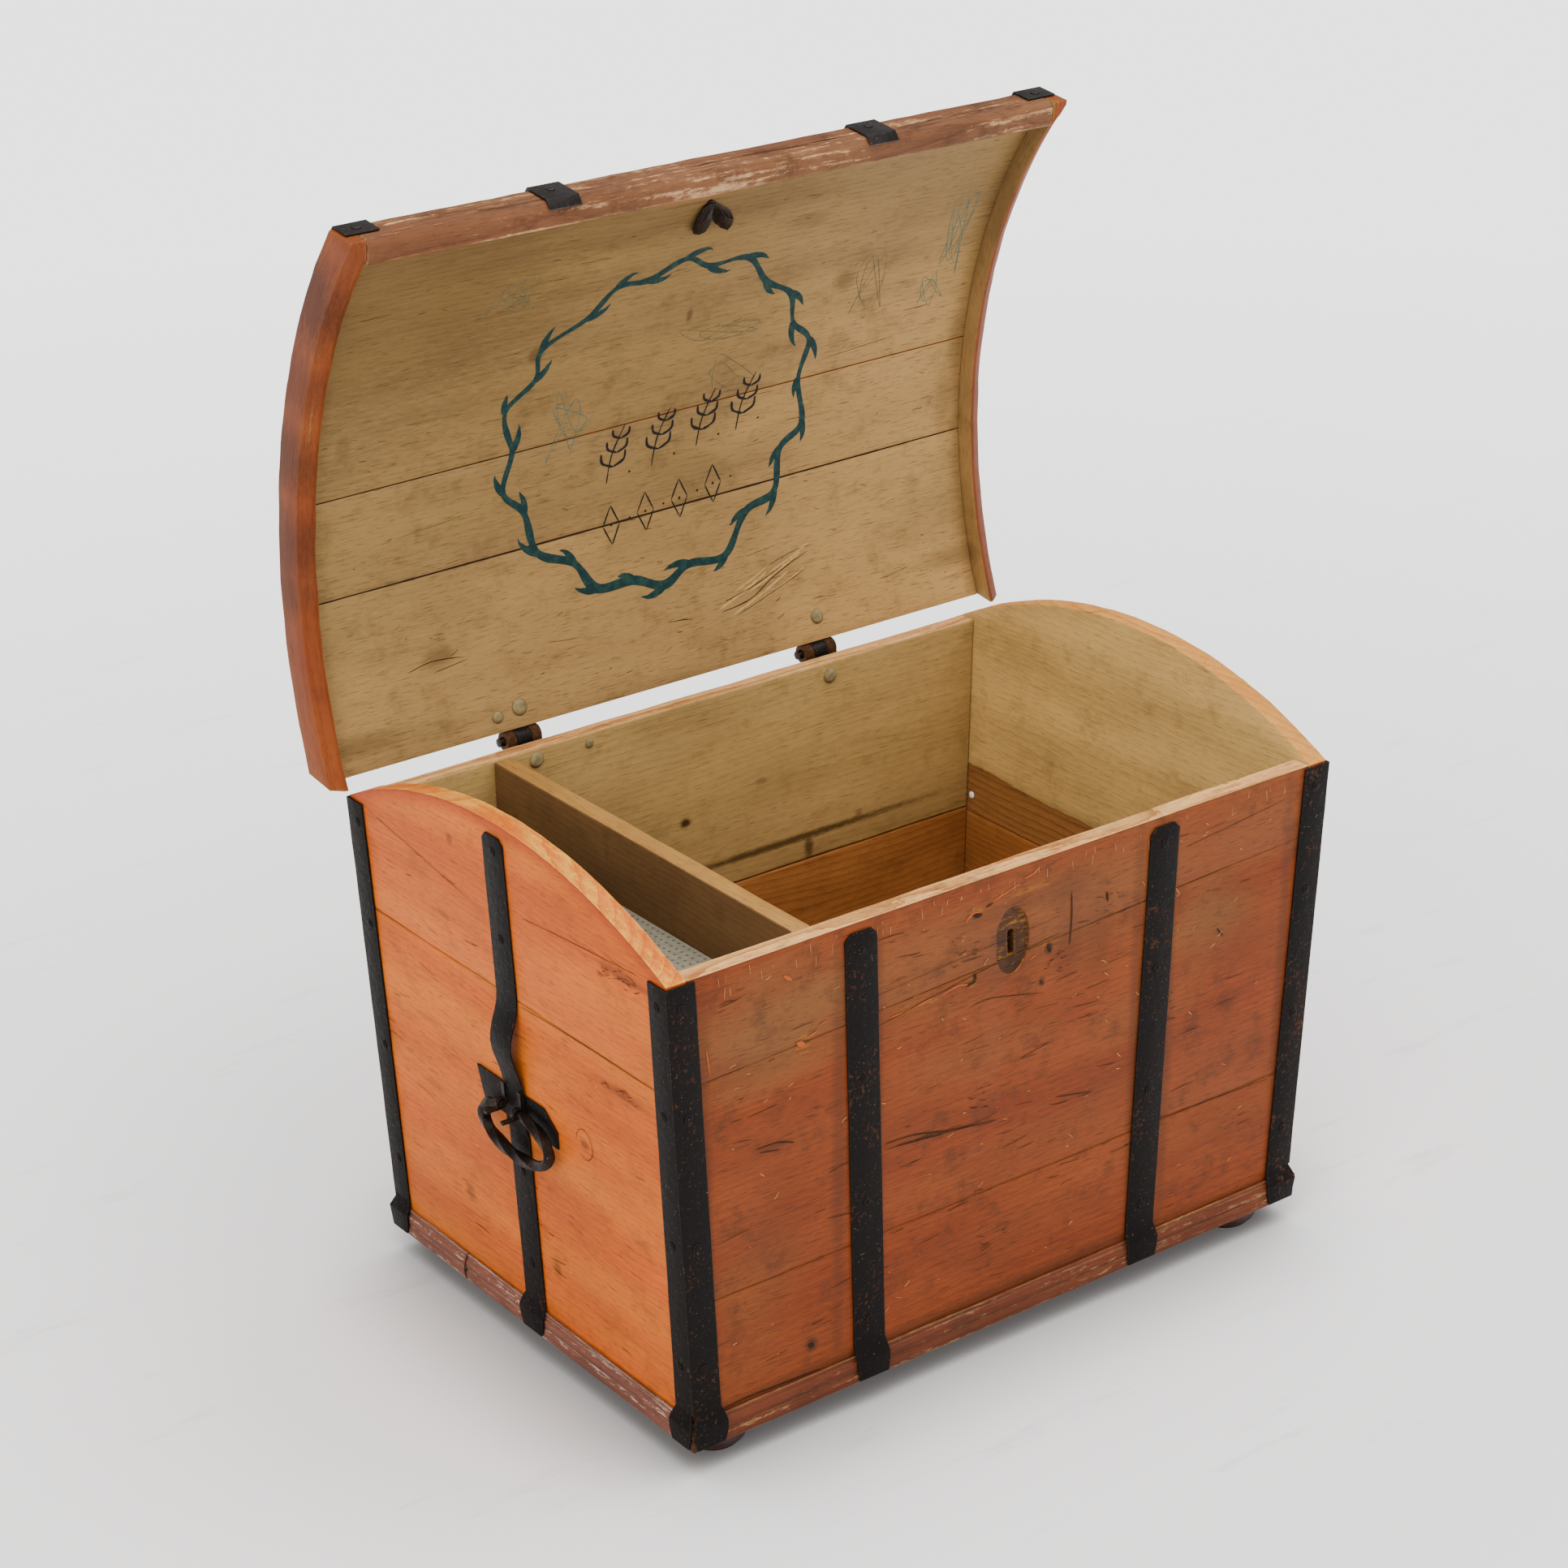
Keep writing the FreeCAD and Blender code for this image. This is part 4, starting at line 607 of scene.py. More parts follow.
# Rims and mouldings: more wood than paint, streaked and greyed by hands and dust
wornOrange = pineFinish(
    "wornOrangeRim", ("#9e3f14", "#742c0e", "#a8733c", "#7a4a22"), streak=0.2, coverage=0.9, blotch=0.5,
    edgeWear=0.5)
lidRimPaint = pineFinish(
    "lidRimPaint", ("#8a451b", "#6d3113", "#9e753a", "#6d4821"), coverage=0.82, blotch=1.0, streak=1.0, chips=1.0,
    grime="#3a1c0e", grimeShow=0.6, edgeWear=0.6, edgeReach=4.0, tint=("#653820", 0.5), nickShow=0.5,
    darkSpots=rimDark)
lidFrontPaint = pineFinish(
    "lidFrontPaint", ("#825738", "#593723", "#cca278", "#8b6541"), coverage=0.66, blotch=1.3, streak=1.2,
    chips=1.0, grime="#2c180c", grimeShow=0.8, edgeWear=0.6, tint=("#6f3d23", 0.6))
mouldingPaint = pineFinish(
    "dustyRedMoulding", ("#6d3620", "#4a2517", "#a07a52", "#6d4a33"), coverage=0.7, chips=1.4, streak=1.3,
    edgeWear=0.5, edgeReach=2.5, grimeShow=0.5, darkSpots=cornerDark, nickShow=0.7)
sideMouldingPaint = pineFinish(
    "greyedRedMoulding", ("#84503f", "#5f392e", "#cdb9a6", "#836657"), coverage=0.7, chips=1.6, streak=1.2,
    edgeWear=0.5, edgeReach=2.5, grimeShow=0.45, nickShow=1.5, darkSpots=cornerDark + splitDark)
footStain = pineFinish(
    "turnedFootStain", ("#431a0e", "#2b0f08", "#6d3c22", "#452314"), coverage=1.05, edgeWear=0.3, paintRough=0.3,
    gloss=0.5, grimeShow=0.5)
escutcheonBed = pineFinish(
    "bedOfLostPlate", ("#4a2c16", "#2a180c", "#a06a2c", "#4a2c14"), coverage=0.62, chips=1.4, blotch=0.6,
    grime="#1a0f08", grimeShow=0.7, edgeWear=0.2)
# Iron: straps dull black, rings and staples browner with bright edges, the lid's bands rubbed grey
blackIron = forgedIron("blackedIron", skin="#0f0c0b", worn="#443d38", rust="#4a2a1a", rustShow=0.8, hingeRust=0.9)
brownIron = forgedIron("rustedIron", skin="#221a16", worn="#7c7068", rust="#5b3822", rustShow=0.7, metallic=0.6,
                       roughness=0.42)
greyIron = forgedIron("rubbedIron", skin="#242120", worn="#77706a", rust="#4a2e20", metallic=0.55, roughness=0.4)
# Brushed and drawn colours, and the dark or pale of opened wood
enamel = strokeColour("whiteEnamel", "#efeee8", "#d9d4c4", dryShow=0.3, roughness=0.25, gloss=0.5)
oliveHead = strokeColour("olivePaintedHead", "#8f7f56", "#5e5540", dryShow=0.9)
wreathBlue = strokeColour("wreathBlueGreen", "#143133", "#345446", dryShow=0.7)
inkBlack = strokeColour("inkBlack", "#1d1b1a", "#3a342a", dryShow=0.4)
pencil = strokeColour("pencilGrey", "#55523c", "#8a7848", dryShow=0.95)
pencilBlue = strokeColour("pencilBlue", "#3f6258", "#8a7848", dryShow=0.95)
crackDark = strokeColour("crackShadow", "#2a1a10", "#4a2f1c", roughness=0.9)
bareScratch = strokeColour("bareScratch", "#bd8a56", "#8f5a30", dryShow=0.9)
flakedPaint = strokeColour("flakedPaint", "#a04a22", "#7e4423", dryShow=0.9)
splinterPale = strokeColour("splinterPale", "#c9a566", "#a67c42", dryShow=0.8)

# Boards of the chest. Faces take a finish by where they look: outward, inward, up at the rim, or hidden.
boardEdges = {"round": 2.2, "segments": 3, "every": 42.0, "uneven": 1.6, "unevenSize": 31.0, "rimAbove": 530}
lostPlate = {"x": -3.5, "z": 468.5, "halfWidth": 21.6, "halfHeight": 36.8, "depth": 1.2}
boardGroups = [
    ("front_plank_", ("top", "middle", "bottom"), alongX, (0, -1, 0), frontPaint),
    ("back_plank_", ("upper", "lower"), alongX, (0, 1, 0), backPaint),
    ("left_end_", ("upper", "lower"), alongY, (-1, 0, 0), endPaint),
    ("right_end_", ("upper", "lower"), alongY, (1, 0, 0), endPaint),
    ("bottom_board_", ("front", "middle", "back"), flatAlongX, (0, 0, -1), bareBoards),
    ("till_", ("partition",), alongY, (1, 0, 0), tillPaint),
    ("till_", ("floor",), alongY, (0, 0, -1), bareBoards),
    ("till_", ("cleats",), alongY, (1, 0, 0), bareBoards),
]
insides = {"front_plank_top": oliveWalls, "front_plank_middle": oliveWalls, "back_plank_upper": oliveBack,
           "left_end_upper": tillInside, "right_end_upper": oliveRight, "till_partition": tillInside}
tops = {"right_end_upper": freshPine, "left_end_upper": wornArch, "till_partition": tillPaint}
# Boards of one side are sawn from one log, so their grain runs on
sideSeeds = {"front_plank_": 1, "back_plank_": 2, "left_end_": 3, "right_end_": 4}


def inLostPlate(facing, middle):
    share = Vector(((middle.x - lostPlate["x"]) / lostPlate["halfWidth"],
                    (middle.z - lostPlate["z"]) / lostPlate["halfHeight"])).length
    sunk = middle.y > middleY - halfAt(middle.z, "Depth") + lostPlate["depth"]
    return share < 1.02 and (share < 0.9 and sunk or facing.y > -0.9)


boardList = [(prefix + end, prefix, *rest) for prefix, ends, *rest in boardGroups for end in ends]
for index, (node, prefix, placeOf, outward, outside) in enumerate(boardList):
    finishes = [outside, insides.get(node, bareBoards), tops.get(node, rimTop), bareBoards, escutcheonBed]
    piece = softenedPiece(node, finishes, 1 if placeOf is alongY else 0, boardEdges)
    for polygon in piece.data.polygons:
        facing, middle = polygon.normal, polygon.center * 1000
        toward = facing.dot(Vector(outward))
        if node in ("front_plank_top", "front_plank_middle") and inLostPlate(facing, middle):
            polygon.material_index = 4
        elif abs(toward) > 0.7:
            polygon.material_index = 0 if toward > 0 else 1
        elif facing.z > 0.5 and middle.z > boardEdges["rimAbove"]:
            polygon.material_index = 2
        else:
            polygon.material_index = 3 if abs(facing.z) > 0.5 else 0
    markBoard(piece.data, placeOf, sideSeeds.get(prefix, index + 9))
    finishPiece(piece, "chest", "painted_pine", node)
print("boards are made")

mouldingEdges = {"round": 0.9, "segments": 2, "every": 30.0, "uneven": 0.7, "unevenSize": 22.0}
for index, side in enumerate(("front", "left", "right")):
    node = "base_moulding_" + side
    placeOf, finish = (alongX, mouldingPaint) if side == "front" else (alongY, sideMouldingPaint)
    piece = softenedPiece(node, [finish], 1 if placeOf is alongY else 0, mouldingEdges)
    markBoard(piece.data, placeOf, index + 31)
    finishPiece(piece, "chest", "red_painted_pine", node)

# Turned feet
footValues = {"rings": [(0.0, 0.0), (26.5, 0.0), (28.0, 1.2), (28.2, 3.6), (30.2, 4.4), (33.6, 7.4), (35.6, 11.5),
                        (36.0, 15.0), (35.2, 19.5), (33.0, 23.6), (31.0, 25.6), (30.0, 28.0), (0.0, 28.0)],
              "sides": 48, "x": 352.0, "y": 235.0, "firstSeed": 78}


def turnedShape(values, centre):
    shape = bmesh.new()
    profile = [shape.verts.new(Vector((radius, 0, z)) / 1000) for radius, z in values["rings"]]
    edges = [shape.edges.new(pair) for pair in zip(profile, profile[1:])]
    bmesh.ops.spin(shape, geom=profile + edges, cent=(0, 0, 0), axis=(0, 0, 1), angle=math.tau,
                   steps=values["sides"], use_merge=True)
    bmesh.ops.remove_doubles(shape, verts=shape.verts, dist=1e-6)
    bmesh.ops.recalc_face_normals(shape, faces=shape.faces)
    bmesh.ops.translate(shape, verts=shape.verts, vec=centre)
    return shape


feet = {"front_left": (-1, -1), "front_right": (1, -1), "back_left": (-1, 1), "back_right": (1, 1)}
for index, (corner, (sideX, sideY)) in enumerate(feet.items()):
    centre = chestPlace(sideX * footValues["x"], sideY * footValues["y"], 0)
    piece = newPiece("look_foot_" + corner, turnedShape(footValues, centre), [footStain], 50)
    markBoard(piece.data, alongZ, footValues["firstSeed"] + index)
    finishPiece(piece, "chest", "stained_pine", "foot_" + corner)
print("moulding and feet are made")

# Straps and plates, each with the axis it runs along. Staples and pins are smoother than sheared straps.
strapEdges = {"round": 0.5, "segments": 2, "every": 26.0, "uneven": 0.7, "unevenSize": 24.0}
smooth = {"uneven": 0.0, "every": 400.0}
straps = {"corner_iron_front_": 2, "corner_iron_back_": 2, "front_strap_": 2, "end_strap_": 2, "handle_plate_": 1,
          "handle_staple_": 2, "back_strap_": 2, "hinge_pin_": 0}
for prefix, along in straps.items():
    steady = prefix in ("handle_staple_", "hinge_pin_")
    for side in ("left", "right"):
        piece = softenedPiece(prefix + side, [brownIron if steady else blackIron], along, strapEdges,
                              **({**smooth, "round": 0.4} if steady else {}))
        finishPiece(piece, "chest", "black_iron", prefix + side)
print("straps are made")

# Lid
staveValues = {"columns": 36, "step": 9.0, "gap": 0.35, "round": 1.2}


def staveShape(frontOf, rearOf, values):
    # A curved board between two lines that may slant over the lid's width
    shape = bmesh.new()
    columns = values["columns"]
    rows = max(2, int((rearOf(0) - frontOf(0)) / values["step"]))
    layers = []
    for radius in (lid["inside"], lid["outside"]):
        layers.append([])
        for column in range(columns + 1):
            x = -lid["insideX"] + 2 * lid["insideX"] * column / columns
            ys = [frontOf(x) + (rearOf(x) - frontOf(x)) * row / rows for row in range(rows + 1)]
            layers[-1].append([shape.verts.new(openLid(x, y, archZ + math.sqrt(radius ** 2 - y ** 2)))
                               for y in ys])
    inner, outer = layers
    for column in range(columns):
        after = column + 1
        for row in range(rows):
            shape.faces.new((inner[column][row], inner[after][row], inner[after][row + 1], inner[column][row + 1]))
            shape.faces.new((outer[column][row], outer[column][row + 1], outer[after][row + 1], outer[after][row]))
        for row in (0, rows):
            shape.faces.new((inner[column][row], outer[column][row], outer[after][row], inner[after][row]))
    for row in range(rows):
        for inside, outside in ((inner[0], outer[0]), (inner[columns], outer[columns])):
            shape.faces.new((inside[row], inside[row + 1], outside[row + 1], outside[row]))
    bmesh.ops.recalc_face_normals(shape, faces=shape.faces)
    roundEdges(shape, sharpEdges(shape, 40), values["round"])
    return shape


def seamLine(ends, side):
    shift = staveValues["gap"] * side
    return lambda x: ends[0] + (ends[1] - ends[0]) * (x + lid["insideX"]) / (2 * lid["insideX"]) + shift


staveLines = {
    "front": (lambda x: lid["frontY"] + lid["frontThick"], seamLine(lid["frontSeam"], -1)),
    "middle": (seamLine(lid["frontSeam"], 1), seamLine(lid["rearSeam"], -1)),
    "rear": (seamLine(lid["rearSeam"], 1), lambda x: lid["rearY"]),
}
for index, (end, (frontOf, rearOf)) in enumerate(staveLines.items()):
    node = "lid_stave_" + end
    piece = newPiece("look_" + node, staveShape(frontOf, rearOf, staveValues),
                     [lidInsidePaint, backPaint, wornOrange])
    for polygon in piece.data.polygons:
        radius = acrossArch(polygon.center).z
        polygon.material_index = 0 if radius < lid["inside"] + 0.5 else 1 if radius > lid["outside"] - 2 else 2
    markBoard(piece.data, acrossArch, index + 41)
    finishPiece(piece, "lid", "olive_painted_pine", node)

rimEdges = {"round": 1.8, "segments": 3, "every": 24.0, "uneven": 1.6, "unevenSize": 26.0}
lidRims = {"left": (alongArch, 2, lidRimPaint, 1), "right": (alongArch, 2, lidRimPaint, -1),
           "front": (lidFrontPlace, 0, lidFrontPaint, 0)}
for index, (side, (placeOf, along, finish, towardMiddle)) in enumerate(lidRims.items()):
    node = "lid_rim_" + side
    piece = softenedPiece(node, [finish, lidInsidePaint], along, rimEdges)
    for polygon in piece.data.polygons:
        polygon.material_index = 1 if polygon.normal.x * towardMiddle > 0.7 else 0
    markBoard(piece.data, placeOf, index + 51)
    finishPiece(piece, "lid", "lid_rim_paint", node)

for node in ("lid_band_end_left", "lid_band_end_right", "lid_hinge_band_left", "lid_hinge_band_right"):
    finishPiece(softenedPiece(node, [greyIron], 2, strapEdges), "lid", "black_iron", node)
finishPiece(softenedPiece("split_pin", [brownIron], 0, strapEdges, **smooth), "lid", "black_iron", "split_pin")
print("lid is made")


# Ring handles: a square bar twisted along its open oval, drawn by a node tree

def newNodeGroup(name, **kinds):
    tree = bpy.data.node_groups.new(name, "GeometryNodeTree")
    for title, kind in {"Geometry": "Geometry", **kinds, "Material": "Material"}.items():
        tree.interface.new_socket(title, in_out="INPUT", socket_type="NodeSocket" + kind)
    tree.interface.new_socket("Geometry", in_out="OUTPUT", socket_type="NodeSocketGeometry")
    return tree, addNode(tree, "NodeGroupInput", out=None).outputs


def closeNodeGroup(tree, geometry, material):
    finished = addNode(tree, "GeometryNodeSetMaterial", {"Geometry": geometry, "Material": material})
    addNode(tree, "NodeGroupOutput", {0: finished}, out=None)
    return tree


def twistedBarTree():
    tree, given = newNodeGroup("twistedBar", **dict.fromkeys(("Turns", "Bar", "End bar", "Corner"), "Float"))
    curve = addNode(tree, "GeometryNodeMeshToCurve", {0: given["Geometry"]})
    steady = addNode(tree, "GeometryNodeSetCurveNormal", {"Curve": curve, "Normal": (1, 0, 0)}, mode="FREE")
    share = addNode(tree, "GeometryNodeSplineParameter", out="Factor")
    turn = addNode(tree, "Math", (given["Turns"], math.tau), operation="MULTIPLY")
    turn = addNode(tree, "Math", (share, turn), operation="MULTIPLY")
    tilted = addNode(tree, "GeometryNodeSetCurveTilt", {"Curve": steady, "Tilt": turn})
    left = addNode(tree, "Math", (1.0, share), operation="SUBTRACT")
    nearest = addNode(tree, "Math", (share, left), operation="MINIMUM")
    thick = addNode(tree, "MapRange", (nearest, 0.0, 0.05, given["End bar"], given["Bar"]))
    thick = addNode(tree, "Math", (thick, 1000.0), operation="DIVIDE")
    square = addNode(tree, "GeometryNodeCurvePrimitiveQuadrilateral", {"Width": 1.0, "Height": 1.0})
    corner = addNode(tree, "Math", (given["Corner"], given["Bar"]), operation="DIVIDE")
    rounded = addNode(tree, "GeometryNodeFilletCurve", {"Curve": square, "Radius": corner, "Count": 3},
                      mode="POLY")
    swept = addNode(tree, "GeometryNodeCurveToMesh", {"Curve": tilted, "Profile Curve": rounded,
                                                      "Scale": thick, "Fill Caps": True})
    ready = addNode(tree, "GeometryNodeRealizeInstances", {0: swept})
    return closeNodeGroup(tree, ready, given["Material"])


def grownMesh(tree, base, settings, name):
    # Runs a node tree on a mesh and keeps the result as a plain mesh
    source = newObject(name + "Source", base)
    modifier = source.modifiers.new("grown", "NODES")
    modifier.node_group = tree
    for item in tree.interface.items_tree:
        if item.item_type == "SOCKET" and item.in_out == "INPUT" and item.name in settings:
            modifier[item.identifier] = settings[item.name]
    bpy.context.view_layer.update()
    depsgraph = bpy.context.evaluated_depsgraph_get()
    mesh = bpy.data.meshes.new_from_object(source.evaluated_get(depsgraph), preserve_all_data_layers=True,
                                           depsgraph=depsgraph)
    mesh.name = name
    bpy.data.objects.remove(source)
    return mesh


ringValues = {"steps": 120, "pintle": 3.0, "halfWidth": 60.5, "halfHeight": 26.0, "drop": 24.0, "shift": -12.0,
              "endGap": 6.5, "eyeSpacing": 30.0, "eyeWidth": 5.0, "pastEye": 2.0, "pastEnd": 2}
ringBar = {"Turns": 1.5, "Bar": 10.5, "End bar": 7.5, "Corner": 1.6, "Material": brownIron}


def ringPath(pivot, backEnd, values):
    start = math.acos((backEnd - values["shift"]) / values["halfWidth"])
    finish = math.acos((-backEnd - values["shift"]) / values["halfWidth"]) - math.tau
    points = []
    for step in range(values["steps"] + 1):
        angle = start + (finish - start) * step / values["steps"]
        points.append(pivot + Vector((0, values["shift"] + values["halfWidth"] * math.cos(angle),
                                      values["halfHeight"] * math.sin(angle) - values["drop"])) / 1000)
    path = bpy.data.meshes.new("ringPath")
    path.from_pydata(points, [(step, step + 1) for step in range(values["steps"])], [])
    return path


def makeRing(side, tree, values):
    pivot = Vector(joints[side + "_handle"]["pos_m"])
    backEnd = values["eyeSpacing"] / 2 + values["eyeWidth"] / 2 + values["endGap"]
    shape = bmesh.new()
    shape.from_mesh(grownMesh(tree, ringPath(pivot, backEnd, values), ringBar, "ringBar"))
    for away in (-1, 1):
        inner = away * (values["eyeSpacing"] / 2 - values["eyeWidth"] / 2 - values["pastEye"])
        outer = away * (backEnd + values["pastEnd"])
        middle = pivot + Vector((0, (inner + outer) / 2, 0)) / 1000
        turned = Matrix.Translation(middle) @ Matrix.Rotation(math.pi / 2, 4, "X")
        bmesh.ops.create_cone(shape, cap_ends=True, segments=20, radius1=values["pintle"] / 1000,
                              radius2=values["pintle"] / 1000, depth=abs(outer - inner) / 1000, matrix=turned)
    piece = newPiece("look_handle_ring_" + side, shape, [brownIron], 40)
    finishPiece(piece, side + "_ring", "black_iron", "handle_ring_" + side)


ringTree = twistedBarTree()
for side in ("left", "right"):
    makeRing(side, ringTree, ringValues)
print("rings are made")

# Nails and rivets: forged heads set on the places of the frame's own heads by a node tree
nailHead = {"Height": 0.26, "Point": 0.35, "Sides": 9, "Rough": 0.10, "Seed": 4}
rivetHead = {"Height": 0.36, "Point": 0.55, "Sides": 16, "Rough": 0.03, "Seed": 9}


def forgedHeadsTree():
    tree, given = newNodeGroup("forgedHeads", Height="Float", Point="Float", Rough="Float", Sides="Int",
                               Seed="Int")
    cone = addNode(tree, "GeometryNodeMeshCone", {
        "Vertices": given["Sides"], "Radius Top": given["Point"], "Radius Bottom": 1.0, "Depth": given["Height"],
        "Fill Segments": 2})
    domed = addNode(tree, "GeometryNodeSubdivisionSurface", {"Mesh": cone, "Level": 1, "Edge Crease": 0.35})
    radius, facing = (addNode(tree, "GeometryNodeInputNamedAttribute", {"Name": name}, data_type=kind)
                      for name, kind in (("headRadius", "FLOAT"), ("headFacing", "FLOAT_VECTOR")))
    aligned = addNode(tree, "FunctionNodeAlignRotationToVector", {"Vector": facing}, axis="Z")
    spin = addNode(tree, "FunctionNodeRandomValue", {"Max": math.tau, "Seed": given["Seed"]}, 1,
                   data_type="FLOAT")
    axisTurn = addNode(tree, "FunctionNodeAxisAngleToRotation", {"Axis": (0, 0, 1), "Angle": spin})
    rotated = addNode(tree, "FunctionNodeRotateRotation", {"Rotation": aligned, "Rotate By": axisTurn},
                      rotation_space="LOCAL")
    heads = addNode(tree, "GeometryNodeInstanceOnPoints", {
        "Points": given["Geometry"], "Instance": domed, "Rotation": rotated, "Scale": radius})
    real = addNode(tree, "GeometryNodeRealizeInstances", {0: heads})
    where = addNode(tree, "GeometryNodeInputPosition")
    lumps = addNode(tree, "TexNoise", {"Vector": where, "Scale": 260.0, "Detail": 1.0}, "Color")
    lumps = addNode(tree, "VectorMath", (lumps, (0.5, 0.5, 0.5)), operation="SUBTRACT")
    amount = addNode(tree, "Math", (given["Rough"], 0.012), operation="MULTIPLY")
    push = addNode(tree, "VectorMath", {0: lumps, "Scale": amount}, operation="SCALE")
    dented = addNode(tree, "GeometryNodeSetPosition", {"Geometry": real, "Offset": push})
    return closeNodeGroup(tree, dented, given["Material"])


def headPlaces(nodes):
    # Middle of the seat, outward direction and radius of each head in the frame's nodes
    places = []
    for node in nodes:
        shape = cleanedShape(node, 1e-6, 0.5)
        left = dict.fromkeys(shape.verts)
        while left:
            island = [left.popitem()[0]]
            for vert in island:
                beside = [edge.other_vert(vert) for edge in vert.link_edges]
                island += [other for other in beside if left.pop(other, vert) is None]
            seat = max((face for vert in island for face in vert.link_faces), key=lambda face: face.calc_area())
            middle = seat.calc_center_median()
            places.append((middle, -seat.normal, max((vert.co - middle).length for vert in seat.verts)))
        shape.free()
    return places


def makeHeads(name, nodes, values, material, body, slotName="black_iron", grow=1.0):
    places = headPlaces(nodes)
    base = bpy.data.meshes.new(name + "Places")
    base.from_pydata([place for place, facing, radius in places], [], [])
    radii = base.attributes.new("headRadius", "FLOAT", "POINT")
    facings = base.attributes.new("headFacing", "FLOAT_VECTOR", "POINT")
    for index, (place, facing, radius) in enumerate(places):
        radii.data[index].value = radius * grow
        facings.data[index].vector = facing
    mesh = grownMesh(headTree, base, dict(values, Material=material), name)
    for layer in ("headRadius", "headFacing"):
        if layer in mesh.attributes:
            mesh.attributes.remove(mesh.attributes[layer])
    for polygon in mesh.polygons:
        polygon.use_smooth = True
    finishPiece(newObject(name, mesh), body, slotName, *nodes)


headTree = forgedHeadsTree()
makeHeads("look_chest_nails", ["front_strap_nails", "end_strap_nails", "corner_nails"], nailHead, blackIron,
          "chest", grow=0.9)
makeHeads("look_lid_nails", ["lid_band_nails"], nailHead, greyIron, "lid", grow=0.9)
makeHeads("look_chest_rivets", ["back_rivets"], rivetHead, oliveHead, "chest")
makeHeads("look_lid_rivets", ["lid_rivets"], rivetHead, oliveHead, "lid")
makeHeads("look_corner_pin", ["corner_pin"], rivetHead, enamel, "chest", "white_enamel")
print("nails and rivets are set")

# Paper in the till: grey rag paper printed with small dark diamonds 9 mm apart
paperLook = {"paper": "#8f8a78", "print": "#4a4c4c", "stain": "#7a6c4c", "repeat": 9.0}


def printedPaper(look):
    material, tree, shader, spot = startMaterial("printedPaper")
    cells = addNode(tree, "TexVoronoi", {"Vector": spot, "Scale": 1 / look["repeat"], "Randomness": 0.0},
                    distance="MANHATTAN")
    age = addNode(tree, "TexNoise", {"Vector": spot, "Scale": 1 / 6, "Detail": 6.0})
    age = addNode(tree, "MapRange", (age, 0.4, 0.75, 0.0, 0.7))
    paper = addNode(tree, "Mix", {0: age, 6: look["paper"], 7: look["stain"]}, 2, data_type="RGBA")
    inked = addNode(tree, "MapRange", (cells, 0.34, 0.28))
    printed = addNode(tree, "Mix", {0: inked, 6: paper, 7: look["print"]}, 2, data_type="RGBA")
    fillNode(tree, shader, {"Base Color": printed, "Roughness": 0.85})
    return material


lining = frame["nodes"]["till_lining"]
lining.data.materials.clear()
lining.data.materials.append(printedPaper(paperLook))


# Strokes on the boards, as thin ribbons just off the surface

def strokeRibbon(shape, points, widths, surface, lift):
    # points are (u, v) in millimetres on the surface; widths has one value per point
    rows = []
    for index, (u, v) in enumerate(points):
        before = points[max(0, index - 1)]
        after = points[min(len(points) - 1, index + 1)]
        du, dv = after[0] - before[0], after[1] - before[1]
        length = math.hypot(du, dv) or 1.0
        side = (-dv / length * widths[index] / 2, du / length * widths[index] / 2)
        rows.append((shape.verts.new(surface(u + side[0], v + side[1], lift)),
                     shape.verts.new(surface(u - side[0], v - side[1], lift))))
    for (a, b), (c, d) in zip(rows, rows[1:]):
        shape.faces.new((a, b, d, c))


def smoothPath(corners, each):
    # A soft line through the corners, with a few points for each stretch
    points = []
    for index in range(len(corners) - 1):
        p0 = corners[max(0, index - 1)]
        p1, p2 = corners[index], corners[index + 1]
        p3 = corners[min(len(corners) - 1, index + 2)]
        for step in range(each):
            t = step / each
            points.append(tuple(0.5 * (2 * p1[k] + (p2[k] - p0[k]) * t
                                       + (2 * p0[k] - 5 * p1[k] + 4 * p2[k] - p3[k]) * t ** 2
                                       + (3 * p1[k] - p0[k] - 3 * p2[k] + p3[k]) * t ** 3) for k in (0, 1)))
    points.append(corners[-1])
    return points


def ontoLid(point):
    return openLid(closedLid(point).x, 0, archZ) - point


# Each surface that takes strokes: its place, the way out of it, its body and its slot
surfaces = {
    "lid": (lidInside, ontoLid, "lid", "olive_painted_pine"),
    "strip": (lidFrontFace, lambda point: openLid(0, -1000, 0) - openLid(0, 0, 0), "lid", "lid_rim_paint"),
    "front": (frontFace, lambda point: Vector((0, -1, 0)), "chest", "painted_pine"),
    "left": (leftFace, lambda point: Vector((-1, 0, 0)), "chest", "painted_pine"),
    "moulding": (leftMoulding, lambda point: Vector((-1, 0, 0)), "chest", "red_painted_pine"),
}


def paintedPiece(name, side, shape, material):
    surface, outward, body, slotName = surfaces[side]
    for face in shape.faces:
        face.normal_update()
        if face.normal.dot(outward(face.calc_center_median())) < 0:
            face.normal_flip()
    finishPiece(newPiece(name, shape, [material]), body, slotName)


def strokePiece(name, side, material, lift, strokes):
    # strokes are (corners, widest width, points for each stretch); one over another, each lies a bit higher
    shape = bmesh.new()
    for row, (corners, width, each) in enumerate(strokes):
        path = smoothPath(corners, each) if each > 1 else corners
        widths = []
        for index in range(len(path)):
            swell = math.sin(math.pi * index / max(1, len(path) - 1)) ** 0.4
            waver = 0.8 + 0.4 * noise.noise(Vector((index * 0.35, row, 0)))
            widths.append(width * (0.25 + 0.75 * swell) * waver)
        strokeRibbon(shape, path, widths, surfaces[side][0], lift + 0.02 * (row % 5))
    paintedPiece(name, side, shape, material)


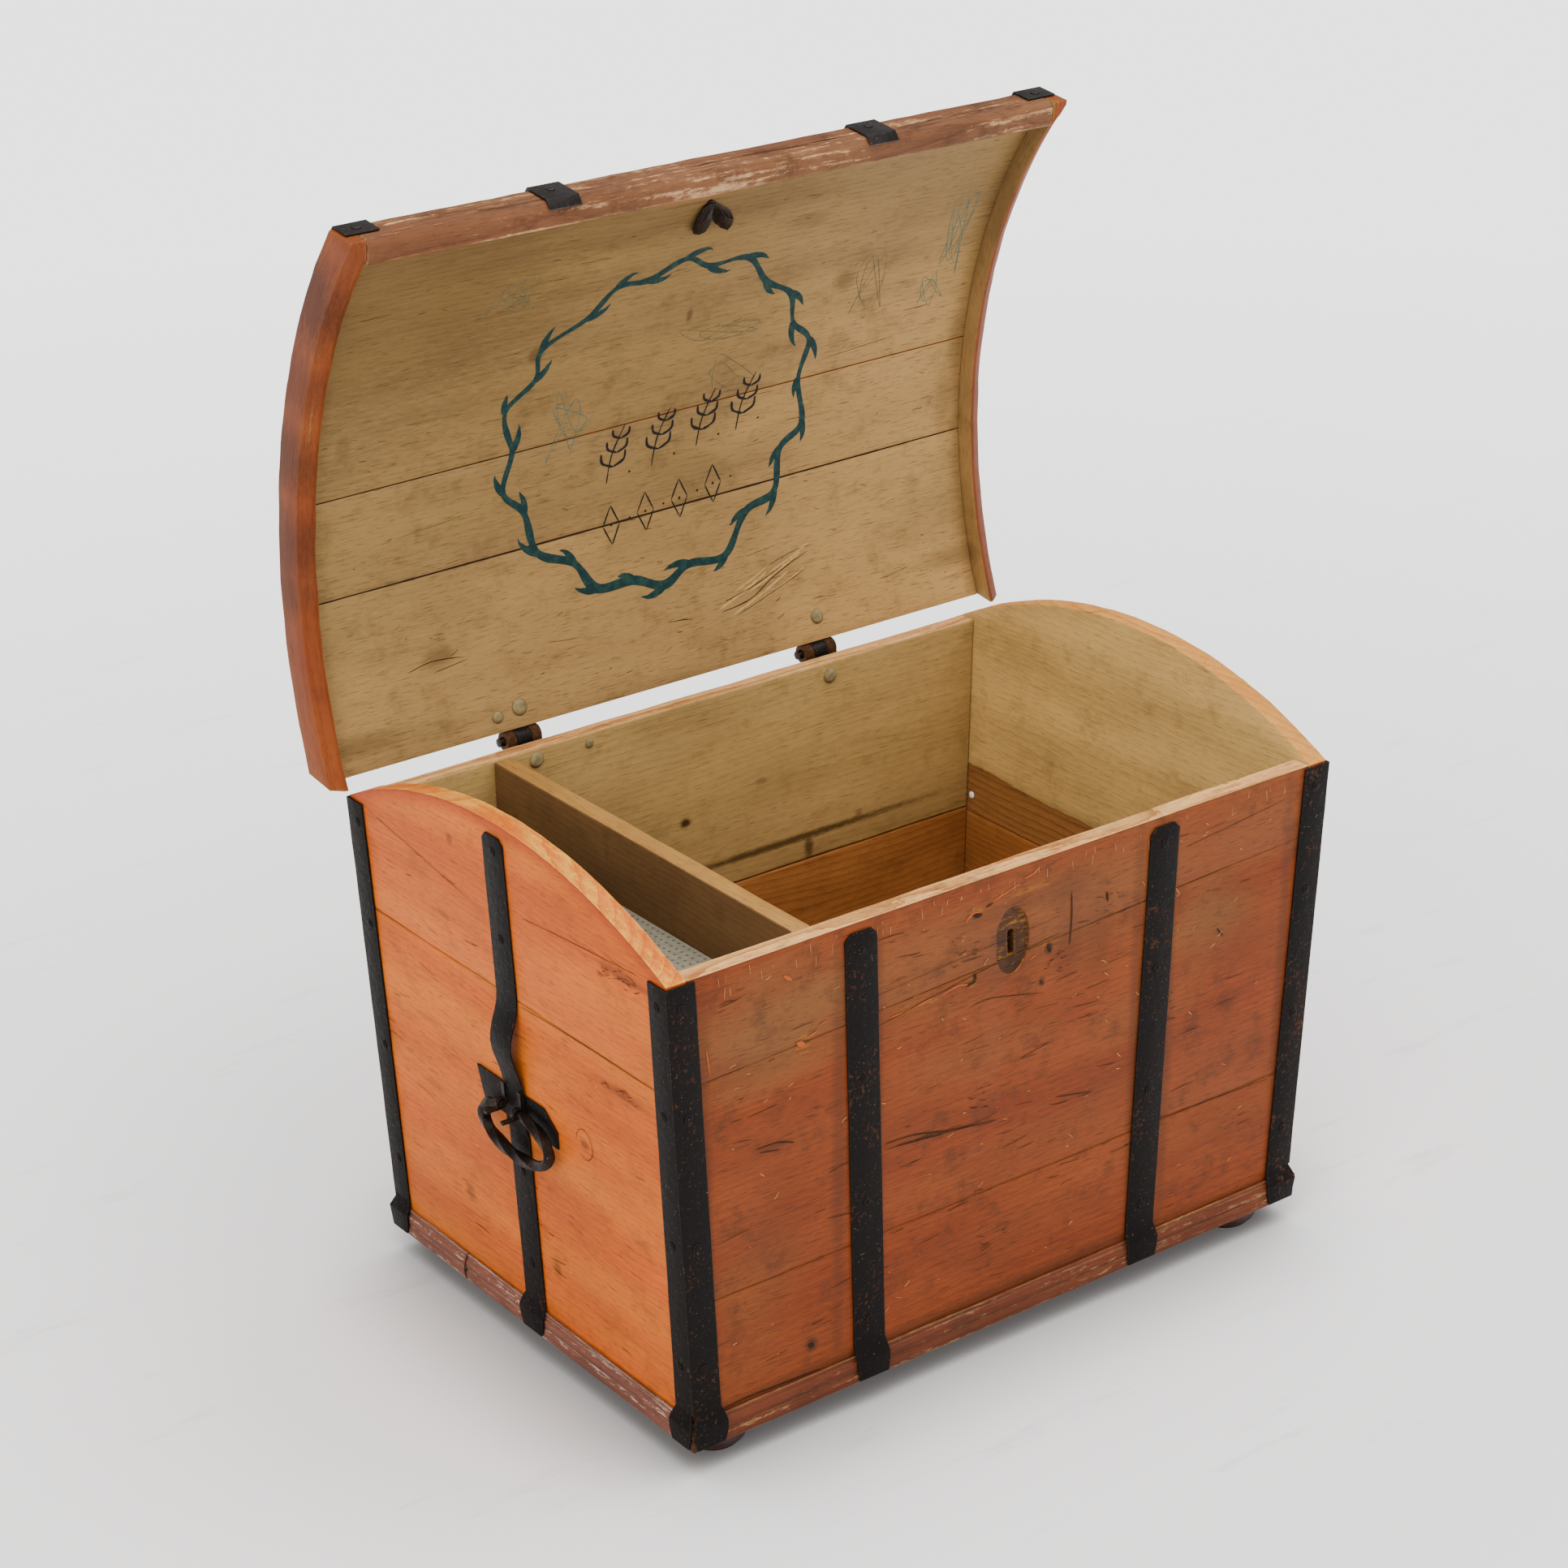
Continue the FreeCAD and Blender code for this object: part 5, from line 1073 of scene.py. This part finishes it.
# The wreath: a vine that bends at each joint and leaves a spur there, by turns outside and inside
wreathValues = {"centre": (5.0, -8.0), "radius": 198.0, "joints": 28, "zigzag": 8.0, "stem": 8.6,
                "lowStem": 3.2, "squash": 0.955, "spurLength": 29.0, "spurWidth": 8.6, "spurTurn": 24.0,
                "spurSteps": 8, "stemSteps": 9, "seed": 5, "lift": 0.16}


def makeWreath(values):
    rng = random.Random(values["seed"])
    shape = bmesh.new()
    corners = []
    for index in range(values["joints"]):
        angle = math.tau * (index + rng.uniform(-0.16, 0.16)) / values["joints"]
        swing = 1 if index % 2 else -1
        radius = values["radius"] + swing * values["zigzag"] * rng.uniform(0.6, 1.3)
        corners.append((values["centre"][0] - radius * math.cos(angle),
                        values["centre"][1] - radius * math.sin(angle) * values["squash"], angle, swing))
    loop = [(x, y) for x, y, angle, swing in corners + corners[:2]]
    path = smoothPath(loop, values["stemSteps"])[:-values["stemSteps"]]
    widths = [values["stem"] * (0.8 + 0.4 * noise.noise(Vector((x, y, 0)) / 26))
              + values["lowStem"] * max(0.0, y / values["radius"]) for x, y in path]
    strokeRibbon(shape, path, widths, lidInside, values["lift"])
    shares = [step / values["spurSteps"] for step in range(values["spurSteps"] + 1)]
    for x, y, angle, swing in corners:
        # A spur runs on the way the stem came, then curls away from the ring
        heading = angle + math.pi / 2 + math.radians(values["spurTurn"]) * -swing
        length = values["spurLength"] * rng.uniform(0.75, 1.15)
        spur = []
        for share in shares:
            bend = heading + swing * math.radians(26) * (share - 0.5) * rng.uniform(0.7, 1.2)
            spur.append((x - math.cos(bend) * length * share, y - math.sin(bend) * length * share))
        widths = [values["spurWidth"] * (1 - share ** 2.2) + 0.6 for share in shares]
        strokeRibbon(shape, spur, widths, lidInside, values["lift"] + 0.03)
    return shape


paintedPiece("look_wreath", "lid", makeWreath(wreathValues), wreathBlue)
print("wreath is painted")

# The split pin's ends, hammered out flat on the boards: (x, y, height off the boards) round each end
prongValues = {
    "outlines": [
        [(3.5, -280, 1.2), (-3, -276, 2.5), (-6, -264, 4), (-7, -251, 4), (-2.6, -243, 3.5), (5.8, -240, 3),
         (13, -242, 3), (15.5, -252, 3.5), (13.5, -262, 4), (9.5, -275, 3), (10.5, -280, 1.2)],
        [(6, -280, 1.2), (13, -279.5, 1.2), (22.4, -270, 5), (34, -258.5, 5.5), (42.5, -255.8, 6.5),
         (44, -248, 6.5), (40.5, -241, 6), (30.4, -245.5, 4.5), (17.5, -256, 4.5), (11.6, -266, 4)]],
    "thick": 2.2, "round": 0.5,
}


def flatEnd(shape, outline, thick):
    rings = [[shape.verts.new(lidInside(x, y, height + extra)) for x, y, height in outline]
             for extra in (0.0, thick)]
    count = len(outline)
    for index in range(count):
        after = (index + 1) % count
        shape.faces.new((rings[0][index], rings[0][after], rings[1][after], rings[1][index]))
    for ring in rings:
        middle = shape.verts.new(sum((vert.co for vert in ring), Vector()) / count)
        for index in range(count):
            shape.faces.new((ring[index], ring[(index + 1) % count], middle))


prongs = bmesh.new()
for outline in prongValues["outlines"]:
    flatEnd(prongs, outline, prongValues["thick"])
bmesh.ops.recalc_face_normals(prongs, faces=prongs.faces)
roundEdges(prongs, sharpEdges(prongs, 50), prongValues["round"])
finishPiece(newPiece("look_pin_ends", prongs, [brownIron]), "lid", "black_iron")

# Sprigs and lozenges in ink inside the wreath, as painters of such chests set them in a row
motifValues = {"sprigs": [(-58, 58), (2, 50), (62, 40), (116, 32)], "height": 66.0, "lean": 20.0, "leaf": 20.0,
               "lozenges": [(-56, 106), (-10, 100), (36, 95), (82, 88)], "halfTall": 22.0, "halfWide": 11.0,
               "line": 2.4}


def motifStrokes(values):
    strokes = []
    line, lean, height = values["line"], values["lean"], values["height"]
    for x, y in values["sprigs"]:
        strokes.append(([(x - 3, y), (x + lean * 0.2, y - height * 0.5), (x + lean, y - height)], line, 8))
        for step in range(3):
            share = 0.28 + step * 0.24
            stemX, stemY = x + lean * share, y - height * share
            leaf = values["leaf"] * (1.1 - share * 0.6)
            for side in (-1, 1):
                out = (stemX + side * leaf * 0.75, stemY - leaf * 0.35)
                end = (stemX + side * leaf * 0.85, stemY - leaf * 0.95)
                strokes.append(([(stemX, stemY), out, end], line * 1.7, 6))
        strokes.append(([(x + 26, y - 8), (x + 29, y - 8.6)], 4.2, 2))
    for x, y in values["lozenges"]:
        wide, tall = values["halfWide"], values["halfTall"]
        corners = [(x, y - tall), (x + wide, y), (x, y + tall), (x - wide, y), (x, y - tall)]
        strokes += [([start, end], line, 5) for start, end in zip(corners, corners[1:])]
        strokes.append(([(x - 1.6, y), (x + 1.6, y)], 4.4, 2))
        strokes.append(([(x + 23, y - 3), (x + 26, y - 3.5)], 3.6, 2))
    return strokes


strokePiece("look_lid_motifs", "lid", inkBlack, 0.24, motifStrokes(motifValues))


# Pencil scrawls: loose loops inside a patch, of no shape in particular
def scrawls(rng, width, *patches):
    strokes = []
    for (x, y), (reachX, reachY), loops in patches:
        corners = []
        for step in range(loops * 5):
            turn = step * 1.27 + rng.uniform(-0.4, 0.4)
            corners.append((x + reachX * math.cos(turn) * rng.uniform(0.25, 1.0),
                            y + reachY * math.sin(turn * 1.3) * rng.uniform(0.25, 1.0)))
        strokes.append((corners, width, 7))
    return strokes


scrawlRng = random.Random(11)
strokePiece("look_lid_scrawls", "lid", pencil, 0.1, scrawls(
    scrawlRng, 1.2, ((-214, -210), (34, 30), 4), ((-205, -196), (26, 20), 3), ((75, -95), (60, 16), 3),
    ((282, -120), (26, 48), 3), ((100, -40), (50, 30), 2)))
strokePiece("look_lid_blue_scrawls", "lid", pencilBlue, 0.1, scrawls(
    scrawlRng, 1.3, ((-112, -30), (36, 52), 3), ((392, -170), (18, 78), 4), ((372, -90), (22, 30), 3)))


# Cracks, scores and bruises

def seamStroke(ends, start, finish, width):
    at = seamLine(ends, 0)
    return [(x, at(x)) for x in range(start, finish, 12)], width, 1


def marks(*rows):
    # Each row is the widest width, the points for each stretch, then x and y of each corner by turns
    return [(list(zip(row[2::2], row[3::2])), row[0], row[1]) for row in rows]


def scores(count, xRange, zRange, lengths, tilt):
    made = []
    for step in range(count):
        x, z = markRng.uniform(*xRange), markRng.uniform(*zRange)
        length = markRng.uniform(*lengths)
        turn = markRng.uniform(-tilt, tilt)
        middle = (x + length / 2 * math.cos(turn), z + length / 2 * math.sin(turn) + markRng.uniform(-1, 1))
        end = (x + length * math.cos(turn), z + length * math.sin(turn))
        made.append(([(x, z), middle, end], markRng.uniform(0.4, 1.0), 4))
    return made


markRng = random.Random(23)
frontStrip = ((-430, 400), (514, 536))
leftEnd = ((-240, 240), (75, 560))
lidCracks = [seamStroke(lid["rearSeam"], -434, 434, 2.8), seamStroke(lid["frontSeam"], -434, -90, 1.1)]
lidCracks += marks(
    (1.5, 6, 78, 232, 120, 226, 158, 208, 206, 192), (1.1, 6, 96, 240, 150, 226, 196, 212),
    (1.2, 6, 84, 222, 132, 212, 170, 200), (0.9, 6, 150, 196, 186, 188, 214, 186),
    (1.3, 5, -330, 205, -300, 200, -262, 203), (0.9, 5, -300, 212, -255, 207), (0.8, 5, 230, -30, 330, -38),
    (0.7, 5, -330, 60, -240, 52))
lidCracks += scores(26, (-420, 360), (-260, 270), (10, 50), 0.12)
lidCracks += scores(110, (-420, 410), (-285, 265), (3, 12), 0.45)
splinters = marks(*(
    (wide, 5, x, y, x + long / 2, y - long * 0.16, x + long, y - long * 0.36)
    for x, y, long, wide in ((76, 228, 70, 3.2), (92, 238, 84, 2.6), (120, 218, 76, 3.4), (100, 214, 46, 2.2),
                             (150, 204, 58, 2.4), (138, 230, 60, 2.0))))
strokePiece("look_lid_splinters", "lid", splinterPale, 0.07, splinters)
strokePiece("look_lid_cracks", "lid", crackDark, 0.08, lidCracks)

frontCracks = marks(
    (1.8, 6, -166, 291, -130, 289, -82, 278, -50, 274), (1.5, 6, -150, 284, -100, 279, -17, 268),
    (1.1, 6, -166, 285, -120, 280, -90, 276), (1.8, 5, -326, 341, -300, 340, -279, 333),
    (1.3, 5, -322, 336, -296, 331), (2.2, 6, -374, 60, -340, 62, -300, 61, -247, 59),
    (1.0, 5, -58, 410, -30, 412, 40, 396), (1.3, 5, 60, 268, 110, 258), (1.1, 5, 10, 330, 50, 336),
    (1.0, 5, -240, 232, -200, 226), (0.9, 9, -190, 425, -60, 445, 60, 458), (1.0, 9, 200, 192, 290, 189, 370, 186),
    (0.7, 9, 230, 505, 300, 512, 370, 520), (0.6, 9, -180, 462, -60, 470, 60, 478),
    (5.2, 2, 44, 450, 46, 446, 47, 440), (4.6, 2, -55, 513, -49, 510, -44, 511), (4.0, 2, -53, 447, -51, 440),
    (3.8, 2, 36, 411, 38, 406), (3.0, 3, -64, 436, -50, 438), (2.6, 3, -40, 517, -30, 519),
    (7.0, 2, -262, 92, -254, 91), (3.4, 3, 122, 486, 124, 474), (2.2, 4, 74, 500, 75, 470, 73, 440),
    (2.4, 3, 280, 396, 290, 384))
for x, z in ((128, 470), (-66, 478), (60, 432), (-40, 300), (210, 330), (-20, 130)):
    frontCracks += scores(12, (x - 22, x + 14), (z - 16, z + 16), (3, 12), 0.6)
frontCracks += scores(110, (-370, 350), (75, 530), (6, 38), 0.14)
strokePiece("look_front_cracks", "front", crackDark, 0.12, frontCracks)

frontFlakes = marks(
    (3.0, 3, -66, 508, -56, 515, -46, 514), (2.4, 4, -30, 521, -8, 527, 4, 530),
    (3.0, 3, 10, 534, 22, 536, 30, 541), (2.6, 4, -96, 436, -74, 440, -58, 436), (2.4, 3, -128, 434, -104, 437),
    (1.8, 3, -162, 432, -140, 433),
    (8.4, 3, -276, 442, -266, 436), (3.0, 3, -262, 444, -250, 447), (5.4, 3, -292, 520, -282, 512),
    (2.2, 3, -250, 452, -238, 455), (2.4, 3, 30, 444, 20, 440), (2.0, 3, -206, 438, -196, 440),
    (1.8, 3, -384, 470, -380, 440))
frontFlakes += scores(60, (-380, 370), (80, 540), (2, 5), 1.3)
strokePiece("look_front_flakes", "front", flakedPaint, 0.1, frontFlakes)

stripCracks = marks((1.6, 6, -30, 531, 20, 533, 110, 530, 150, 531), (1.2, 5, -300, 524, -240, 525, -190, 522),
                    (1.2, 5, 240, 527, 300, 529, 350, 527))
stripCracks += scores(30, *frontStrip, (10, 60), 0.05)
strokePiece("look_strip_cracks", "strip", crackDark, 0.1, stripCracks)
stripScores = scores(26, *frontStrip, (8, 44), 0.06)
strokePiece("look_strip_scores", "strip", bareScratch, 0.14, stripScores)

frontScores = scores(90, (-370, 360), (80, 540), (2, 9), 0.9)
for step in range(46):
    # Short scores straight down from the rim
    x, z = markRng.uniform(-380, 390), markRng.uniform(528, 546)
    end = (x + markRng.uniform(-2, 2), z - markRng.uniform(3, 14))
    frontScores.append(([(x, z), end], markRng.uniform(0.3, 0.7), 4))
strokePiece("look_front_scores", "front", bareScratch, 0.16, frontScores)

leftCracks = marks((0.9, 8, -40, 529, -120, 536, -240, 545), (1.0, 8, -20, 422, -130, 426, -240, 426),
                   (0.8, 8, 250, 545, 160, 530, 60, 512))
dent = [(-119 + 14 * math.cos(turn / 3), 306 + 17 * math.sin(turn / 3)) for turn in range(17)]
leftCracks.append((dent, 0.9, 2))
leftCracks += scores(44, *leftEnd, (6, 34), 0.16)
for y, z in ((-211, 533), (-195, 396), (-200, 524)):
    leftCracks += scores(14, (y - 34, y + 26), (z - 6, z + 6), (4, 14), 0.5)
strokePiece("look_left_cracks", "left", crackDark, 0.12, leftCracks)
strokePiece("look_moulding_split", "moulding", crackDark, 0.3,
            marks((3.4, 2, 133, 28.5, 135.5, 38, 133, 47, 135, 57)))
strokePiece("look_left_scores", "left", bareScratch, 0.16, scores(60, *leftEnd, (2, 9), 1.2))
print("marks are drawn")

# Floor: matt grey-white studio paint with faint scuffs, cleaner away from the middle, where it is also painted
# lighter. Next to the chest a painted shadow greys it, and farther off it glows a little as painted light, though
# it is no lamp.
stageLook = {"near": "#f2f1f1", "far": "#ffffff", "scuff": "#bfbebd", "under": "#4a4848", "nearReach": 0.7,
             "farReach": 4.2, "half": 16.0, "glow": 0.56, "nearGlow": 0.08, "shade": 0.9, "shadeReach": 0.2}


def makeStage(look):
    material, tree, shader, spot = startMaterial("studioFloor", 1)
    drag = addNode(tree, "Mapping", {"Vector": spot, "Scale": (1.2, 7.0, 1.0), "Rotation": (0, 0, 0.5)})
    smears = addNode(tree, "TexNoise", {"Vector": drag, "Scale": 2.2, "Detail": 9.0, "Roughness": 0.72})
    outward = addNode(tree, "VectorMath", (spot,), "Value", operation="LENGTH")
    outward = addNode(tree, "MapRange", (outward, look["nearReach"], look["farReach"]))
    inward = addNode(tree, "Math", (1.0, outward), operation="SUBTRACT")
    scuffed = addNode(tree, "MapRange", (smears, 0.58, 0.8, 0.0, 0.8))
    scuffed = addNode(tree, "Math", (scuffed, inward), operation="MULTIPLY")
    # Painted light: the floor's colour goes lighter, up to white, away from the chest
    colour = addNode(tree, "Mix", {0: outward, 6: look["near"], 7: look["far"]}, 2, data_type="RGBA")
    colour = addNode(tree, "Mix", {0: scuffed, 6: colour, 7: look["scuff"]}, 2, data_type="RGBA")
    # Painted shadow: near the chest, where ambient occlusion finds it close, the floor's colour is mixed toward
    # dark grey
    openSky = addNode(tree, "AmbientOcclusion", {"Distance": look["shadeReach"]}, "AO", samples=16)
    shade = addNode(tree, "MapRange", (openSky, 0.3, 0.92, look["shade"], 0.0))
    colour = addNode(tree, "Mix", {0: shade, 6: colour, 7: look["under"]}, 2, data_type="RGBA")
    # Painted light: the floor glows a little everywhere and more farther off, though it is no lamp
    glow = addNode(tree, "Math", (outward, look["glow"], look["nearGlow"]), operation="MULTIPLY_ADD")
    fillNode(tree, shader, {"Base Color": colour, "Roughness": 0.75, "Emission Color": "#ffffff",
                            "Emission Strength": glow})
    half = look["half"]
    shape = bmesh.new()
    shape.faces.new([shape.verts.new((x * half, y * half, 0)) for x, y in ((-1, -1), (1, -1), (1, 1), (-1, 1))])
    newPiece("studioFloor", shape, [material])


makeStage(stageLook)

# Soft boxes far enough off to light the floor evenly, so they are wide suns
lights = {
    "keyBox": {"from": (-2.6, -1.5, 2.6), "spread": 50.0, "strength": 2.05, "colour": "#fffaf2"},
    "topBox": {"from": (0.7, -0.5, 3.0), "spread": 75.0, "strength": 3.9, "colour": "#ffffff"},
    "frontBox": {"from": (1.4, -3.0, 1.6), "spread": 70.0, "strength": 0.3, "colour": "#ffffff"},
}
for name, values in lights.items():
    data = bpy.data.lights.new(name, "SUN")
    data.angle = math.radians(values["spread"])
    data.energy = values["strength"]
    data.color = linearFromHex(values["colour"])[:3]
    lamp = newObject(name, data)
    lamp.location = values["from"]
    lamp.rotation_euler = (-Vector(values["from"])).to_track_quat("-Z", "Y").to_euler()

world = bpy.data.worlds.new("studioAir")
world.use_nodes = True
fillNode(world.node_tree, world.node_tree.nodes["Background"], {"Color": "#f4f4f5", "Strength": 0.56})
bpy.context.scene.world = world
print("studio is lit")
